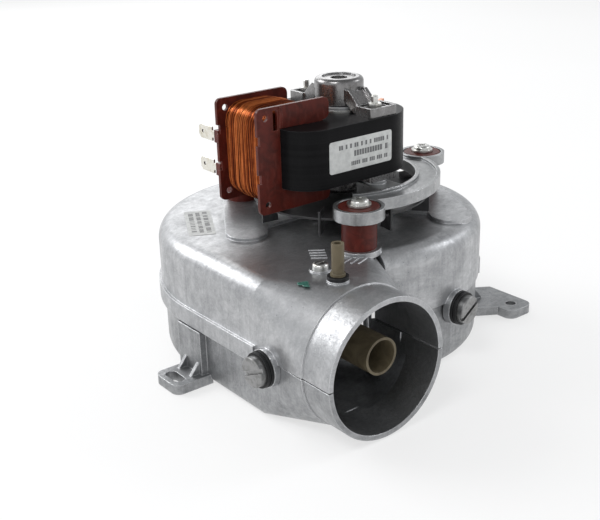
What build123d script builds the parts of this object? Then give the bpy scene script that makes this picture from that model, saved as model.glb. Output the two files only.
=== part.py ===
"""Boiler flue-gas fan: a scroll casing in two castings, a caged impeller on the shaft of a
shaded-pole motor, and the motor on a three-armed bracket over silicone grommets.

Millimetres. The origin is on the shaft axis in the mounting plane, under the casing's floor.
+Z runs up the shaft to the motor, and the outlet points along -Y.
"""

from build123d import *
import math
import os

# ---- driving dimensions -------------------------------------------------------------------
outlet_diameter = 60.0          # outside of the round outlet spigot
outlet_wall = 2.2
outlet_stub_length = 16.0       # round length in front of the body
outlet_root_step = 0.5          # the body stands this much proud of the spigot, all round

impeller_diameter = 108.0
impeller_eye_diameter = 84.0    # inside the ring of blades
impeller_floor_gap = 9.0        # casing floor to the underside of the shroud ring
impeller_roof_gap = 7.3         # top of the backplate to the casing's roof
blade_count = 40
sheet = 1.0                     # pressed steel discs
blade_sheet = 0.7

scroll_gap = 12.0               # impeller tip to the outside of the first scroll arc
scroll_shift = 5.0              # centre of the first scroll arc, in +X and +Y
scroll_growth = 13.0            # radius gained by the second arc
scroll_relief = 4.0             # radius lost again by the third arc
upper_wall = 2.5
lower_wall = 2.5
floor_thickness = 3.0
lower_recess = 1.2              # the lower casting lies this far inside the upper one
roof_edge_radius = 8.0
floor_edge_radius = 5.0
gasket_thickness = 0.6
band_proud = 1.3                # overlapping skirt of the upper casting
band_above = 3.0
band_below = 5.0
band_front_left = -60.0         # the skirt stops here on the left wall
band_front_right = -38.0        # and here on the right wall

post_circle_radius = 52.0
post_angles = (-121.5, -1.5, 118.5)
pad_height = 1.6                # raised star on the roof
pad_radius = 9.5
pad_angles = (58.5, 176.0, -52.0)

inlet_diameter = 62.0
shaft_diameter = 6.0
running_gap = 0.03              # shaft in its bearings, radially
moving_gap = 0.5                # between parts that turn and parts that do not

grommet_body_radius = 7.6
grommet_neck_radius = 6.4
grommet_disc_radius = 9.0
grommet_disc_height = 1.3
grommet_foot_height = 13.0      # roof pad to the underside of the bracket
sleeve_radius = 3.3
sleeve_wall = 1.1

bracket_thickness = 4.0
bracket_inner_radius = 35.0
bracket_outer_radius = 46.5
bracket_eye_radius = 11.0
bracket_rib_height = 1.3
bracket_rib_width = 1.8

core_stack = 26.0
core_width = 60.0
core_length = 67.5
core_leg = 14.0                 # width of the yoke and of both legs
core_end = 22.0                 # shaft axis to the pole end
core_back_radius = 14.5
core_end_radius = 18.0
core_above_bracket = 6.0        # top of the bracket plate to the underside of the core
rotor_diameter = 26.0
air_gap = 0.4
cage_ring_height = 2.0

bobbin_height = 46.0
bobbin_sheet = 1.5
bobbin_proud = 12.0             # flange beyond the yoke's outer face
coil_depth = 7.6

stud_inset = 6.0                # stud axis to the core's front and back faces
stud_radius = 1.5
nut_across_corners = 6.4
nut_height = 2.4

bearing_radius = 6.0
bearing_height = 7.0
cap_radius = 11.2
cap_height = 11.5
cap_wall = 2.0
washer_room = 1.5               # thrust washer and its play

fan_radius = 42.0
fan_sheet = 0.9
fan_clearance = 1.0            # blades to the roof and to the bracket
fan_blade_count = 8

probe_tube_radius = 8.0
probe_tube_wall = 1.1
probe_tube_length = 34.0
probe_setback = 5.5             # probe mouth behind the outlet mouth
spigot_radius = 2.6
spigot_bore = 1.5
spigot_height = 16.0

wall_screw_radius = 2.0
wall_screw_head_radius = 6.5
wall_screw_head_height = 3.2
wall_ring_radius = 7.75
wall_ring_height = 2.8
wall_boss_radius = 8.2
wall_screw_drop = 3.5           # screw axis below the parting plane
fit_gap = 0.1                   # between pieces that are fastened to each other

foot_thickness = 4.5
foot_hole_radius = 2.6
label_thickness = 0.15

# ---- derived places -----------------------------------------------------------------------
outlet_radius = outlet_diameter / 2
half_height = outlet_radius + outlet_root_step
body_height = 2 * half_height
parting_z = half_height
impeller_radius = impeller_diameter / 2

arc_1_radius = impeller_radius + scroll_gap
arc_2_radius = arc_1_radius + scroll_growth
arc_3_radius = arc_2_radius - scroll_relief
arc_1_centre = (scroll_shift, scroll_shift)
arc_2_centre = (scroll_shift - scroll_growth, scroll_shift)
arc_3_centre = (scroll_shift - scroll_growth, scroll_shift + scroll_relief)
left_wall_x = arc_3_centre[0] - arc_3_radius
outlet_x = left_wall_x + half_height
tongue_x = outlet_x + half_height

inner_side = lower_recess + lower_wall


def tongue_y(inset):
    """Where the duct's right wall meets the first scroll arc, both moved in by inset."""
    across = tongue_x - inset - arc_1_centre[0]
    return arc_1_centre[1] - math.sqrt((arc_1_radius - inset) ** 2 - across**2)


duct_start_y = tongue_y(inner_side) + 5.5
duct_end_y = tongue_y(0) - 18.8
outlet_mouth_y = duct_end_y - outlet_stub_length

roof_z = body_height
pad_z = roof_z + pad_height
shroud_z = floor_thickness + impeller_floor_gap
backplate_z = roof_z - upper_wall - impeller_roof_gap
bracket_z = pad_z + grommet_foot_height
bracket_top = bracket_z + bracket_thickness
core_z = bracket_top + core_above_bracket
core_top = core_z + core_stack
core_mid = core_z + core_stack / 2
core_back_x = core_end - core_length
shaft_radius = shaft_diameter / 2
bearing_bore = shaft_radius + running_gap
hub_length = 14.0
hub_radius = 8.0
hub_z = backplate_z - hub_length + 5.0
lower_bearing_z = core_z - cage_ring_height - moving_gap - washer_room - bearing_height
upper_bearing_z = core_top + cage_ring_height + moving_gap + washer_room
cap_z = core_top + cage_ring_height + moving_gap
cap_top = cap_z + cap_height
cup_z = lower_bearing_z - 1.6
stud_end_z = bracket_z - nut_height - 1.2
fan_disc_z = stud_end_z - moving_gap - fan_sheet
shaft_bottom = hub_z - 7.5
shaft_top = upper_bearing_z + bearing_height + 0.8
rotor_radius = rotor_diameter / 2
bore_radius = rotor_radius + air_gap
coil_x = core_back_x + core_leg / 2
half_flange = core_width / 2 - core_leg - 0.5
stud_offset = core_width / 2 - stud_inset
bobbin_z = core_mid - bobbin_height / 2
probe_x = outlet_x + 1.5
probe_z = parting_z + 3.0
probe_mouth_y = outlet_mouth_y + probe_setback
spigot_place = (probe_x - 5.0, duct_end_y + 9.5)
probe_screw_place = (spigot_place[0] + 2.0, spigot_place[1] + 13.5)
screw_z = parting_z - wall_screw_drop

UP = (Align.CENTER, Align.CENTER, Align.MIN)


# ---- helpers ------------------------------------------------------------------------------
def disc(radius, height, z=0.0, x=0.0, y=0.0):
    """Upright cylinder standing on z."""
    return Pos(x, y, z) * Cylinder(radius, height, align=UP)


def ring(outer, inner, height, z, x=0.0, y=0.0):
    """Upright tube standing on z."""
    return disc(outer, height, z, x, y) - disc(inner, height + 2, z - 1, x, y)


def block(x0, x1, y0, y1, z0, z1):
    """Box between two corners."""
    size = Box(x1 - x0, y1 - y0, z1 - z0)
    return Pos((x0 + x1) / 2, (y0 + y1) / 2, (z0 + z1) / 2) * size


def polar(radius, angle):
    """Point on a circle round the shaft, angle in degrees from +X."""
    return (radius * math.cos(math.radians(angle)), radius * math.sin(math.radians(angle)))


def post_places():
    """Centres of the three motor posts."""
    return [polar(post_circle_radius, angle) for angle in post_angles]


def strip(start, end, width):
    """Round-ended strip in the XY plane between two points."""
    run = math.dist(start, end)
    turn = math.degrees(math.atan2(end[1] - start[1], end[0] - start[0]))
    middle = ((start[0] + end[0]) / 2, (start[1] + end[1]) / 2)
    return Pos(*middle) * Rot(0, 0, turn) * SlotCenterToCenter(run, width)


def group(pieces):
    """One node made of separate solids."""
    solids = []
    for piece in pieces:
        solids.extend(piece.solids())
    return Compound(solids)


def hexagon(radius, height, z, x, y):
    """Six-sided nut blank."""
    return Pos(x, y, z) * extrude(RegularPolygon(radius, 6), height)


# ---- casing -------------------------------------------------------------------------------
def scroll_outline(inset):
    """Plan outline of the scroll, moved in by inset: three tangent arcs and the duct's start."""
    left = left_wall_x + inset
    right = tongue_x - inset
    start = math.degrees(math.atan2(tongue_y(inset) - arc_1_centre[1], right - arc_1_centre[0]))
    arcs = [
        CenterArc(arc_1_centre, arc_1_radius - inset, start, -start),
        CenterArc(arc_2_centre, arc_2_radius - inset, 0, 90),
        CenterArc(arc_3_centre, arc_3_radius - inset, 90, 90),
    ]
    lines = [
        Line((left, arc_3_centre[1]), (left, duct_start_y)),
        Line((left, duct_start_y), (right, duct_start_y)),
        Line((right, duct_start_y), (right, tongue_y(inset))),
    ]
    return make_face(Curve() + arcs + lines)


def duct_plane(y):
    """Upright plane across the outlet duct, local X to +X and local Y up."""
    return Plane(origin=(outlet_x, y, parting_z), x_dir=(1, 0, 0), z_dir=(0, -1, 0))


def duct_start(half_width, half, edge):
    """Section where the duct leaves the scroll, rounded on the outer wall only."""
    small = 0.3
    arcs = [
        CenterArc((half_width - small, half - small), small, 0, 90),
        CenterArc((edge - half_width, half - edge), edge, 90, 90),
        CenterArc((edge - half_width, edge - half), edge, 180, 90),
        CenterArc((half_width - small, small - half), small, 270, 90),
    ]
    lines = [Line(a @ 1, b @ 0) for a, b in zip(arcs, arcs[1:] + arcs[:1])]
    return make_face(Curve() + arcs + lines)


def air_body(side, end, edge):
    """Closed solid of the scroll and its outlet, moved in by side at the walls, by end at the
    roof, floor and outlet, with its long edges rounded by edge."""
    scroll = Pos(0, 0, end) * extrude(scroll_outline(side), body_height - 2 * end)
    left = left_wall_x + side
    level = scroll.edges().filter_by(Plane.XY)
    walls = [e for e in level.filter_by(GeomType.LINE) if abs((e @ 0.5).X - left) < 0.01]
    scroll = fillet(level.filter_by(GeomType.CIRCLE) + walls, edge)
    half = half_height - end
    first = duct_plane(duct_start_y) * duct_start(half_height - side, half, edge)
    last = duct_plane(duct_end_y) * RectangleRounded(2 * half, 2 * half, half - 0.05)
    duct = loft([first.face(), last.face()])
    stub = duct_plane(duct_end_y + 1.0) * Cylinder(
        outlet_radius - end, outlet_stub_length + 1.0, align=UP
    )
    return scroll + duct + stub


def outlet_bore():
    """Round bore from the mouth back into the body."""
    length = outlet_stub_length + 6.0
    return duct_plane(outlet_mouth_y + length) * Cylinder(
        outlet_radius - outlet_wall, length + 1.0, align=UP
    )


def plan(inset):
    """Plan of the whole casing at the parting plane, moved in by inset."""
    start = duct_start_y + 1.0
    duct = Pos(outlet_x, (start + duct_end_y) / 2) * Rectangle(
        2 * (half_height - inset), start - duct_end_y
    )
    stub = Pos(outlet_x, (duct_end_y + 1.0 + outlet_mouth_y) / 2) * Rectangle(
        2 * (outlet_radius - inset), duct_end_y + 1.0 - outlet_mouth_y
    )
    return scroll_outline(inset) + duct + stub


def half_space(z0, z1):
    """Block that covers the casing between two heights."""
    reach = 2 * arc_2_radius + outlet_stub_length
    return block(-reach, reach, -reach, reach, z0, z1)


def wall_screw_planes():
    """Planes on the casing wall at the four radial screws, looking outwards."""
    front_left = Plane(
        origin=(left_wall_x, duct_start_y - 8.0, screw_z), x_dir=(0, -1, 0), z_dir=(-1, 0, 0)
    )
    planes = [front_left]
    turns = ((arc_1_centre, arc_1_radius, -80), (arc_2_centre, arc_2_radius, 30),
             (arc_3_centre, arc_3_radius, 118))
    for centre, radius, angle in turns:
        out = polar(1.0, angle)
        foot = (centre[0] + radius * out[0], centre[1] + radius * out[1], screw_z)
        planes.append(Plane(origin=foot, x_dir=(-out[1], out[0], 0), z_dir=(out[0], out[1], 0)))
    return planes


def peg(plane, radius, low, high):
    """Cylinder along a plane's normal, from low to high."""
    return plane.offset(low) * Cylinder(radius, high - low, align=UP)


def skirt():
    """Band of the upper casting that laps over the lower one."""
    low = parting_z - band_below
    outer = Pos(0, 0, low) * extrude(scroll_outline(-band_proud), band_below + band_above)
    kept = Pos(0, 0, parting_z - 1) * extrude(scroll_outline(upper_wall / 2), band_above + 2)
    reach = 2 * arc_2_radius
    back = block(-reach, reach, band_front_right, reach, low, parting_z + band_above)
    left = block(-reach, outlet_x, band_front_left, reach, low, parting_z + band_above)
    return (outer - kept) & (back + left)


def star_plan():
    """Plan of the raised star: a ring of round pads with a notch at the front post."""
    rear_pad, left_pad, right_pad = [polar(post_circle_radius, a) for a in pad_angles]
    right_post = polar(post_circle_radius, post_angles[1])
    left_post = polar(post_circle_radius, post_angles[2])
    route = [left_pad, left_post, rear_pad, right_post, right_pad]
    notch = (3.0, 5.0)
    star = make_face(Polyline(*route, notch, close=True))
    for start, end in zip(route, route[1:]):
        star += strip(start, end, 2 * pad_radius)
    star += Pos(*polar(post_circle_radius, post_angles[0])) * Circle(pad_radius)
    return star


def cast_ticks():
    """Short raised casting marks beside the pressure spigot."""
    ticks = []
    for index in range(4):
        place = Pos(spigot_place[0] + 10.0 + 1.6 * index, spigot_place[1] + 24.0 + 2.6 * index)
        ticks.append(place * Rot(0, 0, -38) * Box(7.0, 0.7, 0.8))
    for index in range(3):
        place = Pos(spigot_place[0] + 17.0 + 2.2 * index, spigot_place[1] + 14.0 - 2.2 * index)
        ticks.append(place * Rot(0, 0, 20) * Box(7.0, 0.7, 0.8))
    return [Pos(0, 0, roof_z) * tick for tick in ticks]


def upper_housing():
    """Upper casting: roof, half of the outlet, skirt, star, posts' threads and marks."""
    above = half_space(parting_z, roof_z + 1)
    shell = air_body(0, 0, roof_edge_radius) & above
    cavity = air_body(upper_wall, upper_wall, roof_edge_radius - upper_wall + 0.5) + outlet_bore()
    cavity += disc(impeller_radius + 1.5, backplate_z + sheet + 2.0)
    shell = shell + skirt()
    for plane in wall_screw_planes():
        shell += peg(plane, wall_boss_radius, -lower_recess + fit_gap, band_proud + 0.9)
    shell -= cavity & half_space(screw_z - wall_boss_radius - 1, roof_z)
    shell -= air_body(lower_recess - fit_gap, 0, floor_edge_radius) & half_space(-1, parting_z)
    shell += Pos(0, 0, roof_z - 1) * extrude(star_plan(), pad_height + 1)
    shell += disc(4.6, 1.8, roof_z - 1, *probe_screw_place)
    shell += disc(4.6, 1.8, roof_z - 1, *spigot_place)
    for tick in cast_ticks():
        shell += tick
    for x, y in post_places():
        shell += disc(5.0, 6.0, roof_z - upper_wall - 5.0, x, y)
        shell -= disc(2.0, 20.0, pad_z - 9.0, x, y)
    shell -= disc(7.0, 20.0, roof_z - 10.0)
    shell -= disc(spigot_radius + fit_gap, 20.0, roof_z - 10.0, *spigot_place)
    shell -= disc(1.6, 20.0, roof_z - 10.0, *probe_screw_place)
    for plane in wall_screw_planes():
        shell -= peg(plane, wall_screw_radius + 0.2, -8, 8)
    return shell


def left_foot():
    """Foot on the left wall with a slotted hole, two gussets and a pillar."""
    wall = left_wall_x + lower_recess
    tip = left_wall_x - 16.7
    plate = block(tip, wall + 1.2, -6.0, 12.5, 0, foot_thickness)
    plate = fillet(plate.edges().filter_by(Axis.Z).group_by(Axis.X)[0], 4.0)
    slot = Pos(tip + 5.2, 3.2) * Rot(0, 0, 90) * SlotOverall(11.5, 2 * foot_hole_radius)
    plate -= Pos(0, 0, -1) * extrude(slot, foot_thickness + 2)
    pillar = block(wall - 3.2, wall + 1.2, -4.0, 14.0, 0, parting_z - band_below - 0.4)
    return plate + pillar + gusset((wall - 3.0, -1.0), 180) + gusset((wall - 3.0, 9.0), 180)


def gusset(place, heading):
    """Small triangular rib on a foot, standing at place and running along heading."""
    side = make_face(Polyline((0, 0), (4.8, 0), (0, 6.0), close=True))
    rib = extrude(Plane.XZ.offset(-0.9) * side, 1.8)
    return Pos(place[0], place[1], foot_thickness - 0.3) * Rot(0, 0, heading) * rib


def right_foot():
    """Foot on the right wall, turned forwards, with a round hole."""
    reach = arc_1_centre[0] + arc_1_radius
    front = arc_1_centre[1] - arc_1_radius + 11.5
    edge = [
        (reach - 18.0, front + 19.0),
        (reach - 2.5, front + 9.0),
        (reach - 2.5, front),
        (reach + 14.0, front),
        (reach + 14.0, front + 29.0),
        (reach + 8.0, front + 33.0),
        (reach - 8.0, front + 37.0),
    ]
    plate = extrude(make_face(Polyline(*edge, close=True)), foot_thickness)
    plate = fillet(plate.edges().filter_by(Axis.Z).group_by(Axis.Y)[0], 4.5)
    hole = disc(foot_hole_radius, foot_thickness + 2, -1, reach + 5.7, front + 7.6)
    return plate - hole + gusset((reach - 4.0, front + 24.0), -10)


def rear_foot():
    """Foot at the back with a round hole."""
    back = arc_3_centre[1] + arc_3_radius
    plate = block(-1.0, 17.0, back - 8.0, back + 15.5, 0, foot_thickness)
    plate = fillet(plate.edges().filter_by(Axis.Z).group_by(Axis.Y)[-1], 4.5)
    hole = disc(foot_hole_radius, foot_thickness + 2, -1, 8.0, back + 8.5)
    return plate - hole + gusset((3.0, back - 2.4), 90) + gusset((13.0, back - 3.4), 90)


def lower_housing():
    """Lower casting: floor with the inlet eye, half of the outlet, and three feet."""
    top = parting_z - gasket_thickness
    below = half_space(-1, top)
    shell = air_body(lower_recess, 0, floor_edge_radius) & below
    cavity = air_body(inner_side, floor_thickness, floor_edge_radius - 1.5) + outlet_bore()
    feet = left_foot() + right_foot() + rear_foot()
    shell = shell + feet - cavity
    for plane in wall_screw_planes():
        shell += peg(plane, 4.6, -inner_side - 1.5, -inner_side + 1.0) & below
    for plane in wall_screw_planes():
        shell -= peg(plane, wall_screw_radius, -12, 8)
    shell -= disc(inlet_diameter / 2 + 3.5, 20.0, -1)
    for x, y in inlet_screw_places():
        shell -= disc(1.25, floor_thickness + 2, -1, x, y)
    return shell


def inlet_screw_places():
    """Centres of the inlet ring's screws."""
    return [polar(inlet_diameter / 2 + 8.0, angle) for angle in (30, 150, 270)]


def casing_gasket():
    """Flat gasket between the castings, open at the outlet."""
    outer = plan(lower_recess + 0.05)
    inner = plan(outlet_wall - 0.05)
    inner += Pos(outlet_x, outlet_mouth_y) * Rectangle(2 * (outlet_radius - outlet_wall + 0.05), 4)
    inner += Circle(impeller_radius + 1.5)
    return Pos(0, 0, parting_z - gasket_thickness) * extrude(outer - inner, gasket_thickness)


def inlet_ring():
    """Pressed inlet nozzle: flange on the floor and a bellmouth up to the shroud."""
    throat = inlet_diameter / 2
    top = shroud_z - 2.0
    floor = floor_thickness
    inside = [Line((throat + 3.2, 0), (throat + 3.2, floor)),
              ThreePointArc((throat + 3.2, floor), (throat + 1.0, floor + 3.2), (throat, top))]
    outside = [Line((throat, top), (throat + 1.0, top)),
               ThreePointArc((throat + 1.0, top), (throat + 2.4, floor + 3.8),
                             (throat + 4.6, floor + 1.0)),
               Line((throat + 4.6, floor + 1.0), (throat + 11.5, floor + 1.0)),
               Line((throat + 11.5, floor + 1.0), (throat + 11.5, floor)),
               Line((throat + 11.5, floor), (throat + 3.4, floor)),
               Line((throat + 3.4, floor), (throat + 3.4, 0)),
               Line((throat + 3.4, 0), (throat + 3.2, 0))]
    profile = make_face(Curve() + inside + outside)
    nozzle = revolve(Plane.XZ * profile, Axis.Z)
    for x, y in inlet_screw_places():
        nozzle -= disc(1.5, 4.0, floor - 1.0, x, y)
    return nozzle


def inlet_screws():
    """Three pan-head screws that hold the inlet ring down."""
    screws = []
    for x, y in inlet_screw_places():
        head = disc(2.7, 1.8, floor_thickness + 1.0, x, y)
        head = fillet(head.edges().group_by(Axis.Z)[-1], 1.0)
        screws.append(head + disc(1.2, floor_thickness + 1.2, 0.2, x, y))
    return group(screws)


def casing_screws():
    """Four slotted cheese-head screws, radially through the skirt into the lower casting."""
    screws = []
    seat = band_proud + 0.9 + wall_ring_height
    for plane in wall_screw_planes():
        head = peg(plane, wall_screw_head_radius, seat, seat + wall_screw_head_height)
        head = fillet(head.edges().filter_by(GeomType.CIRCLE).sort_by_distance(plane.origin)[-1], 0.8)
        slot = plane.offset(seat + wall_screw_head_height) * Rot(0, 0, 25) * Box(20.0, 1.8, 3.2)
        shank = peg(plane, wall_screw_radius - 0.05, -inner_side - 1.0, seat)
        screws.append(head - slot + shank)
    return group(screws)


def screw_seals():
    """Black stepped rings under the casing screws' heads."""
    seals = []
    seat = band_proud + 0.9
    for plane in wall_screw_planes():
        step = wall_ring_height / 2
        seal = peg(plane, wall_ring_radius, seat, seat + step - 0.2)
        seal += peg(plane, wall_ring_radius - 0.7, seat, seat + step + 0.2)
        seal += peg(plane, wall_ring_radius - 0.2, seat + step + 0.2, seat + wall_ring_height)
        seals.append(seal - peg(plane, wall_screw_radius + 0.1, seat - 1, seat + 10))
    return group(seals)


# ---- pressure probe -----------------------------------------------------------------------
def probe_rim(radius, low, high):
    """Cylinder along the outlet at the probe's height, from low to high in Y."""
    plane = Plane(origin=(probe_x, high, probe_z), x_dir=(1, 0, 0), z_dir=(0, -1, 0))
    return plane * Cylinder(radius, high - low, align=UP)


def pressure_probe():
    """Plastic probe: a tube in the gas stream, a saddle under the roof and a hollow spigot."""
    end_y = probe_mouth_y + probe_tube_length
    x, y = spigot_place
    under_roof = roof_z - upper_wall - 0.1
    probe = probe_rim(probe_tube_radius, probe_mouth_y, end_y)
    probe += disc(3.6, under_roof - probe_z, probe_z, x, y)
    probe += disc(3.6, 9.0, under_roof - 9.0, *probe_screw_place)
    probe += block(x - 3.6, x + 5.6, y - 3.6, probe_screw_place[1] + 3.0, under_roof - 3.0, under_roof)
    probe += disc(spigot_radius, roof_z + spigot_height - probe_z, probe_z, x, y)
    probe += disc(spigot_radius + 0.5, 1.2, roof_z + 2.4, x, y)
    probe -= probe_rim(probe_tube_radius - probe_tube_wall, probe_mouth_y - 1, end_y + 1)
    probe -= disc(spigot_bore, roof_z + spigot_height - probe_z + 1, probe_z, x, y)
    probe -= disc(1.1, 8.0, under_roof - 7.0, *probe_screw_place)
    return probe


def probe_screw():
    """Pan-head screw that holds the probe from above."""
    x, y = probe_screw_place
    head = disc(3.4, 2.4, roof_z + 0.8, x, y)
    head = fillet(head.edges().group_by(Axis.Z)[-1], 1.3)
    recess = block(x - 2.0, x + 2.0, y - 0.35, y + 0.35, roof_z + 2.2, roof_z + 4.0)
    return head + disc(1.05, upper_wall + 7.0, roof_z - upper_wall - 6.0, x, y) - recess


def probe_seal():
    """Rubber collar that seals the spigot on the roof."""
    return ring(spigot_radius + 1.8, spigot_radius + 0.02, 1.5, roof_z + 0.8, *spigot_place)


# ---- motor suspension ---------------------------------------------------------------------
def grommet(place):
    """Silicone grommet: tall foot, neck in the bracket's eye and a disc on top."""
    x, y = place
    body = disc(grommet_body_radius, grommet_foot_height, pad_z, x, y)
    body = fillet(body.edges().group_by(Axis.Z)[-1], 0.6)
    body += disc(grommet_neck_radius, bracket_thickness + 1, bracket_z - 0.5, x, y)
    top = disc(grommet_disc_radius, grommet_disc_height, bracket_top, x, y)
    top = fillet(top.edges().group_by(Axis.Z)[-1], 0.7)
    body += top
    return body - disc(sleeve_radius, 60.0, pad_z - 1, x, y)


def grommet_sleeves():
    """Steel spacer tubes inside the grommets."""
    height = bracket_top + grommet_disc_height + 0.2 - pad_z
    inner = sleeve_radius - sleeve_wall
    return group([ring(sleeve_radius, inner, height, pad_z, x, y) for x, y in post_places()])


def grommet_screws():
    """Flange-head screws that clamp the sleeves to the roof."""
    screws = []
    seat = bracket_top + grommet_disc_height + 0.2
    for x, y in post_places():
        head = disc(5.2, 1.0, seat, x, y) + disc(4.2, 2.9, seat, x, y)
        head = fillet(head.edges().group_by(Axis.Z)[-1], 1.4)
        cross = block(x - 2.4, x + 2.4, y - 0.5, y + 0.5, seat + 1.5, seat + 4)
        cross += block(x - 0.5, x + 0.5, y - 2.4, y + 2.4, seat + 1.5, seat + 4)
        screws.append(head - cross + disc(1.95, seat - pad_z + 8.0, pad_z - 8.0, x, y))
    return group(screws)


def stud_places():
    """Centres of the two studs through the motor."""
    return [(0.0, -stud_offset), (0.0, stud_offset)]


def motor_bracket():
    """C-shaped die-cast frame with three grommet eyes and two lugs for the motor studs."""
    first, _, last = post_angles
    span = last - first
    frame = ring(bracket_outer_radius, bracket_inner_radius, bracket_thickness, bracket_z)
    outer_rib = ring(
        bracket_outer_radius, bracket_outer_radius - bracket_rib_width, bracket_rib_height, bracket_top
    )
    inner_rib = ring(
        bracket_inner_radius + bracket_rib_width, bracket_inner_radius, bracket_rib_height, bracket_top
    )
    wedge = Rot(0, 0, first) * extrude(sector(1.2 * post_circle_radius, span), body_height)
    frame = (frame + outer_rib + inner_rib) & Pos(0, 0, bracket_z - 1) * wedge
    for x, y in post_places():
        frame += disc(bracket_eye_radius, bracket_thickness, bracket_z, x, y)
        frame += disc(bracket_eye_radius, bracket_rib_height, bracket_top, x, y)
        frame -= disc(grommet_disc_radius + 0.4, 10.0, bracket_top, x, y)
        frame -= disc(grommet_neck_radius, 10.0, bracket_z - 1, x, y)
    lug_top = core_z - 3.0
    for x, y in stud_places():
        side = math.copysign(1.0, y)
        edges = sorted((side * (stud_offset - 5.5), side * (bracket_inner_radius + 1.0)))
        frame += block(x - 6.0, x + 6.0, *edges, bracket_z, lug_top - 1.5)
        frame += disc(5.5, lug_top - bracket_z, bracket_z, x, y)
        frame -= disc(stud_radius + fit_gap, 20.0, bracket_z - 1, x, y)
    return frame


def sector(radius, span):
    """Pie slice from +X counter-clockwise by span degrees."""
    start = Line((0, 0), (radius, 0))
    rim = CenterArc((0, 0), radius, 0, span)
    return make_face(Curve() + [start, rim, Line(rim @ 1, (0, 0))])


# ---- motor --------------------------------------------------------------------------------
def core_outline():
    """Plan of the laminations without their holes."""
    x0, x1, half = core_back_x, core_end, core_width / 2
    corner = core_back_radius
    nose = core_end_radius
    lines = [
        Line((x0 + corner, -half), (x1 - nose, -half)),
        Line((x1, -half + nose), (x1, half - nose)),
        Line((x1 - nose, half), (x0 + corner, half)),
        Line((x0, half - corner), (x0, -half + corner)),
    ]
    arcs = [
        CenterArc((x1 - nose, -half + nose), nose, -90, 90),
        CenterArc((x1 - nose, half - nose), nose, 0, 90),
        CenterArc((x0 + corner, half - corner), corner, 90, 90),
        CenterArc((x0 + corner, -half + corner), corner, 180, 90),
    ]
    return make_face(Curve() + lines + arcs)


def shading_slots():
    """Centres of the slots that the two shading rings pass through, in pairs."""
    near = bore_radius + 2.9
    far = bore_radius + 7.4
    pairs = []
    for turn in (-52, 128):
        pairs.append((polar(near, turn), polar(far, turn + 32)))
    return pairs


def stator_core():
    """Stack of laminations with the coil window, the rotor bore and its slots."""
    window_x0 = core_back_x + core_leg
    window_x1 = window_x0 + coil_depth + 2.0
    half_window = core_width / 2 - core_leg
    plane = core_outline() - Circle(bore_radius)
    plane -= Pos((window_x0 + window_x1) / 2, 0) * Rectangle(window_x1 - window_x0, 2 * half_window)
    plane -= Pos((window_x1 - bore_radius) / 2, 0) * Rectangle(bore_radius + window_x1 + 4, 5.0)
    for pair in shading_slots():
        for x, y in pair:
            plane -= Pos(x, y) * Rectangle(2.2, 2.2)
    for x, y in stud_places():
        plane -= Pos(x, y) * Circle(stud_radius + fit_gap)
    return Pos(0, 0, core_z) * extrude(plane, core_stack)


def shading_rings():
    """Two closed copper loops through the pole slots."""
    loops = []
    for start, end in shading_slots():
        run = math.dist(start, end)
        turn = math.degrees(math.atan2(end[1] - start[1], end[0] - start[0]))
        strap = Box(run + 1.6, 1.6, 1.6)
        middle = ((start[0] + end[0]) / 2, (start[1] + end[1]) / 2)
        loop = Pos(*middle, core_top + 0.8) * Rot(0, 0, turn) * strap
        loop += Pos(*middle, core_z - 0.8) * Rot(0, 0, turn) * strap
        for x, y in (start, end):
            loop += block(x - 0.8, x + 0.8, y - 0.8, y + 0.8, core_z - 1.6, core_top + 1.6)
        loops.append(loop)
    return group(loops)


def bobbin_flange(y0, y1):
    """One bobbin flange with its arms over and under the core."""
    left = core_back_x - bobbin_proud
    right = core_back_x + core_leg + coil_depth + 1.4
    arm_end = right + 3.5
    plate = block(left, right, y0, y1, bobbin_z, bobbin_z + bobbin_height)
    rise = bobbin_height / 2 - core_stack / 2 - 0.4
    for z0 in (bobbin_z, core_top + 0.4):
        arm = block(right - 1.0, arm_end, y0, y1, z0, z0 + rise)
        plate += fillet(arm.edges().filter_by(Axis.Y).group_by(Axis.X)[-1], 3.0)
    plate = fillet(plate.edges().filter_by(Axis.Y).group_by(Axis.X)[0], 2.5)
    for z in (bobbin_z + 4.2, bobbin_z + bobbin_height - 4.2):
        plate -= Pos(left + 4.4, (y0 + y1) / 2, z) * Rot(90, 0, 0) * Cylinder(1.4, 10)
    for z in (core_mid - 9.0, core_mid + 7.5):
        plate -= block(left - 1, left + 1.3, y0 - 1, y1 + 1, z, z + 4.0)
    return plate


def bobbin():
    """Coil former: two flanges and the sleeve round the yoke, with terminal sockets."""
    x0 = core_back_x - 0.1
    x1 = core_back_x + core_leg + 0.1
    sleeve = block(x0 - bobbin_sheet + 0.3, x1 + bobbin_sheet - 0.3, -half_flange, half_flange,
                   core_z - bobbin_sheet + 0.2, core_top + bobbin_sheet - 0.2)
    former = sleeve + bobbin_flange(-half_flange, -half_flange + bobbin_sheet)
    former += bobbin_flange(half_flange - bobbin_sheet, half_flange)
    former -= block(x0, x1, -half_flange - 1, half_flange + 1, core_z - 0.1, core_top + 0.1)
    left = core_back_x - bobbin_proud
    rib = left + 12.3
    former += block(rib - 0.6, rib + 0.6, -half_flange - 0.5, -half_flange + 0.5,
                    core_top + 0.6, bobbin_z + bobbin_height - 0.5)
    former -= block(rib - 4.0, rib - 1.6, -half_flange - 1, -half_flange + 3,
                    core_top - 0.2, bobbin_z + bobbin_height - 1.6)
    for z in terminal_heights():
        socket = block(left + 0.6, left + 4.4, half_flange - 0.5, half_flange + 2.6, z - 2.8, z + 2.8)
        former += socket - terminal(z, 0.05)
    return former


def terminal_heights():
    """Heights of the two blade terminals."""
    return [core_mid + 5.9, core_mid - 9.1]


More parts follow.
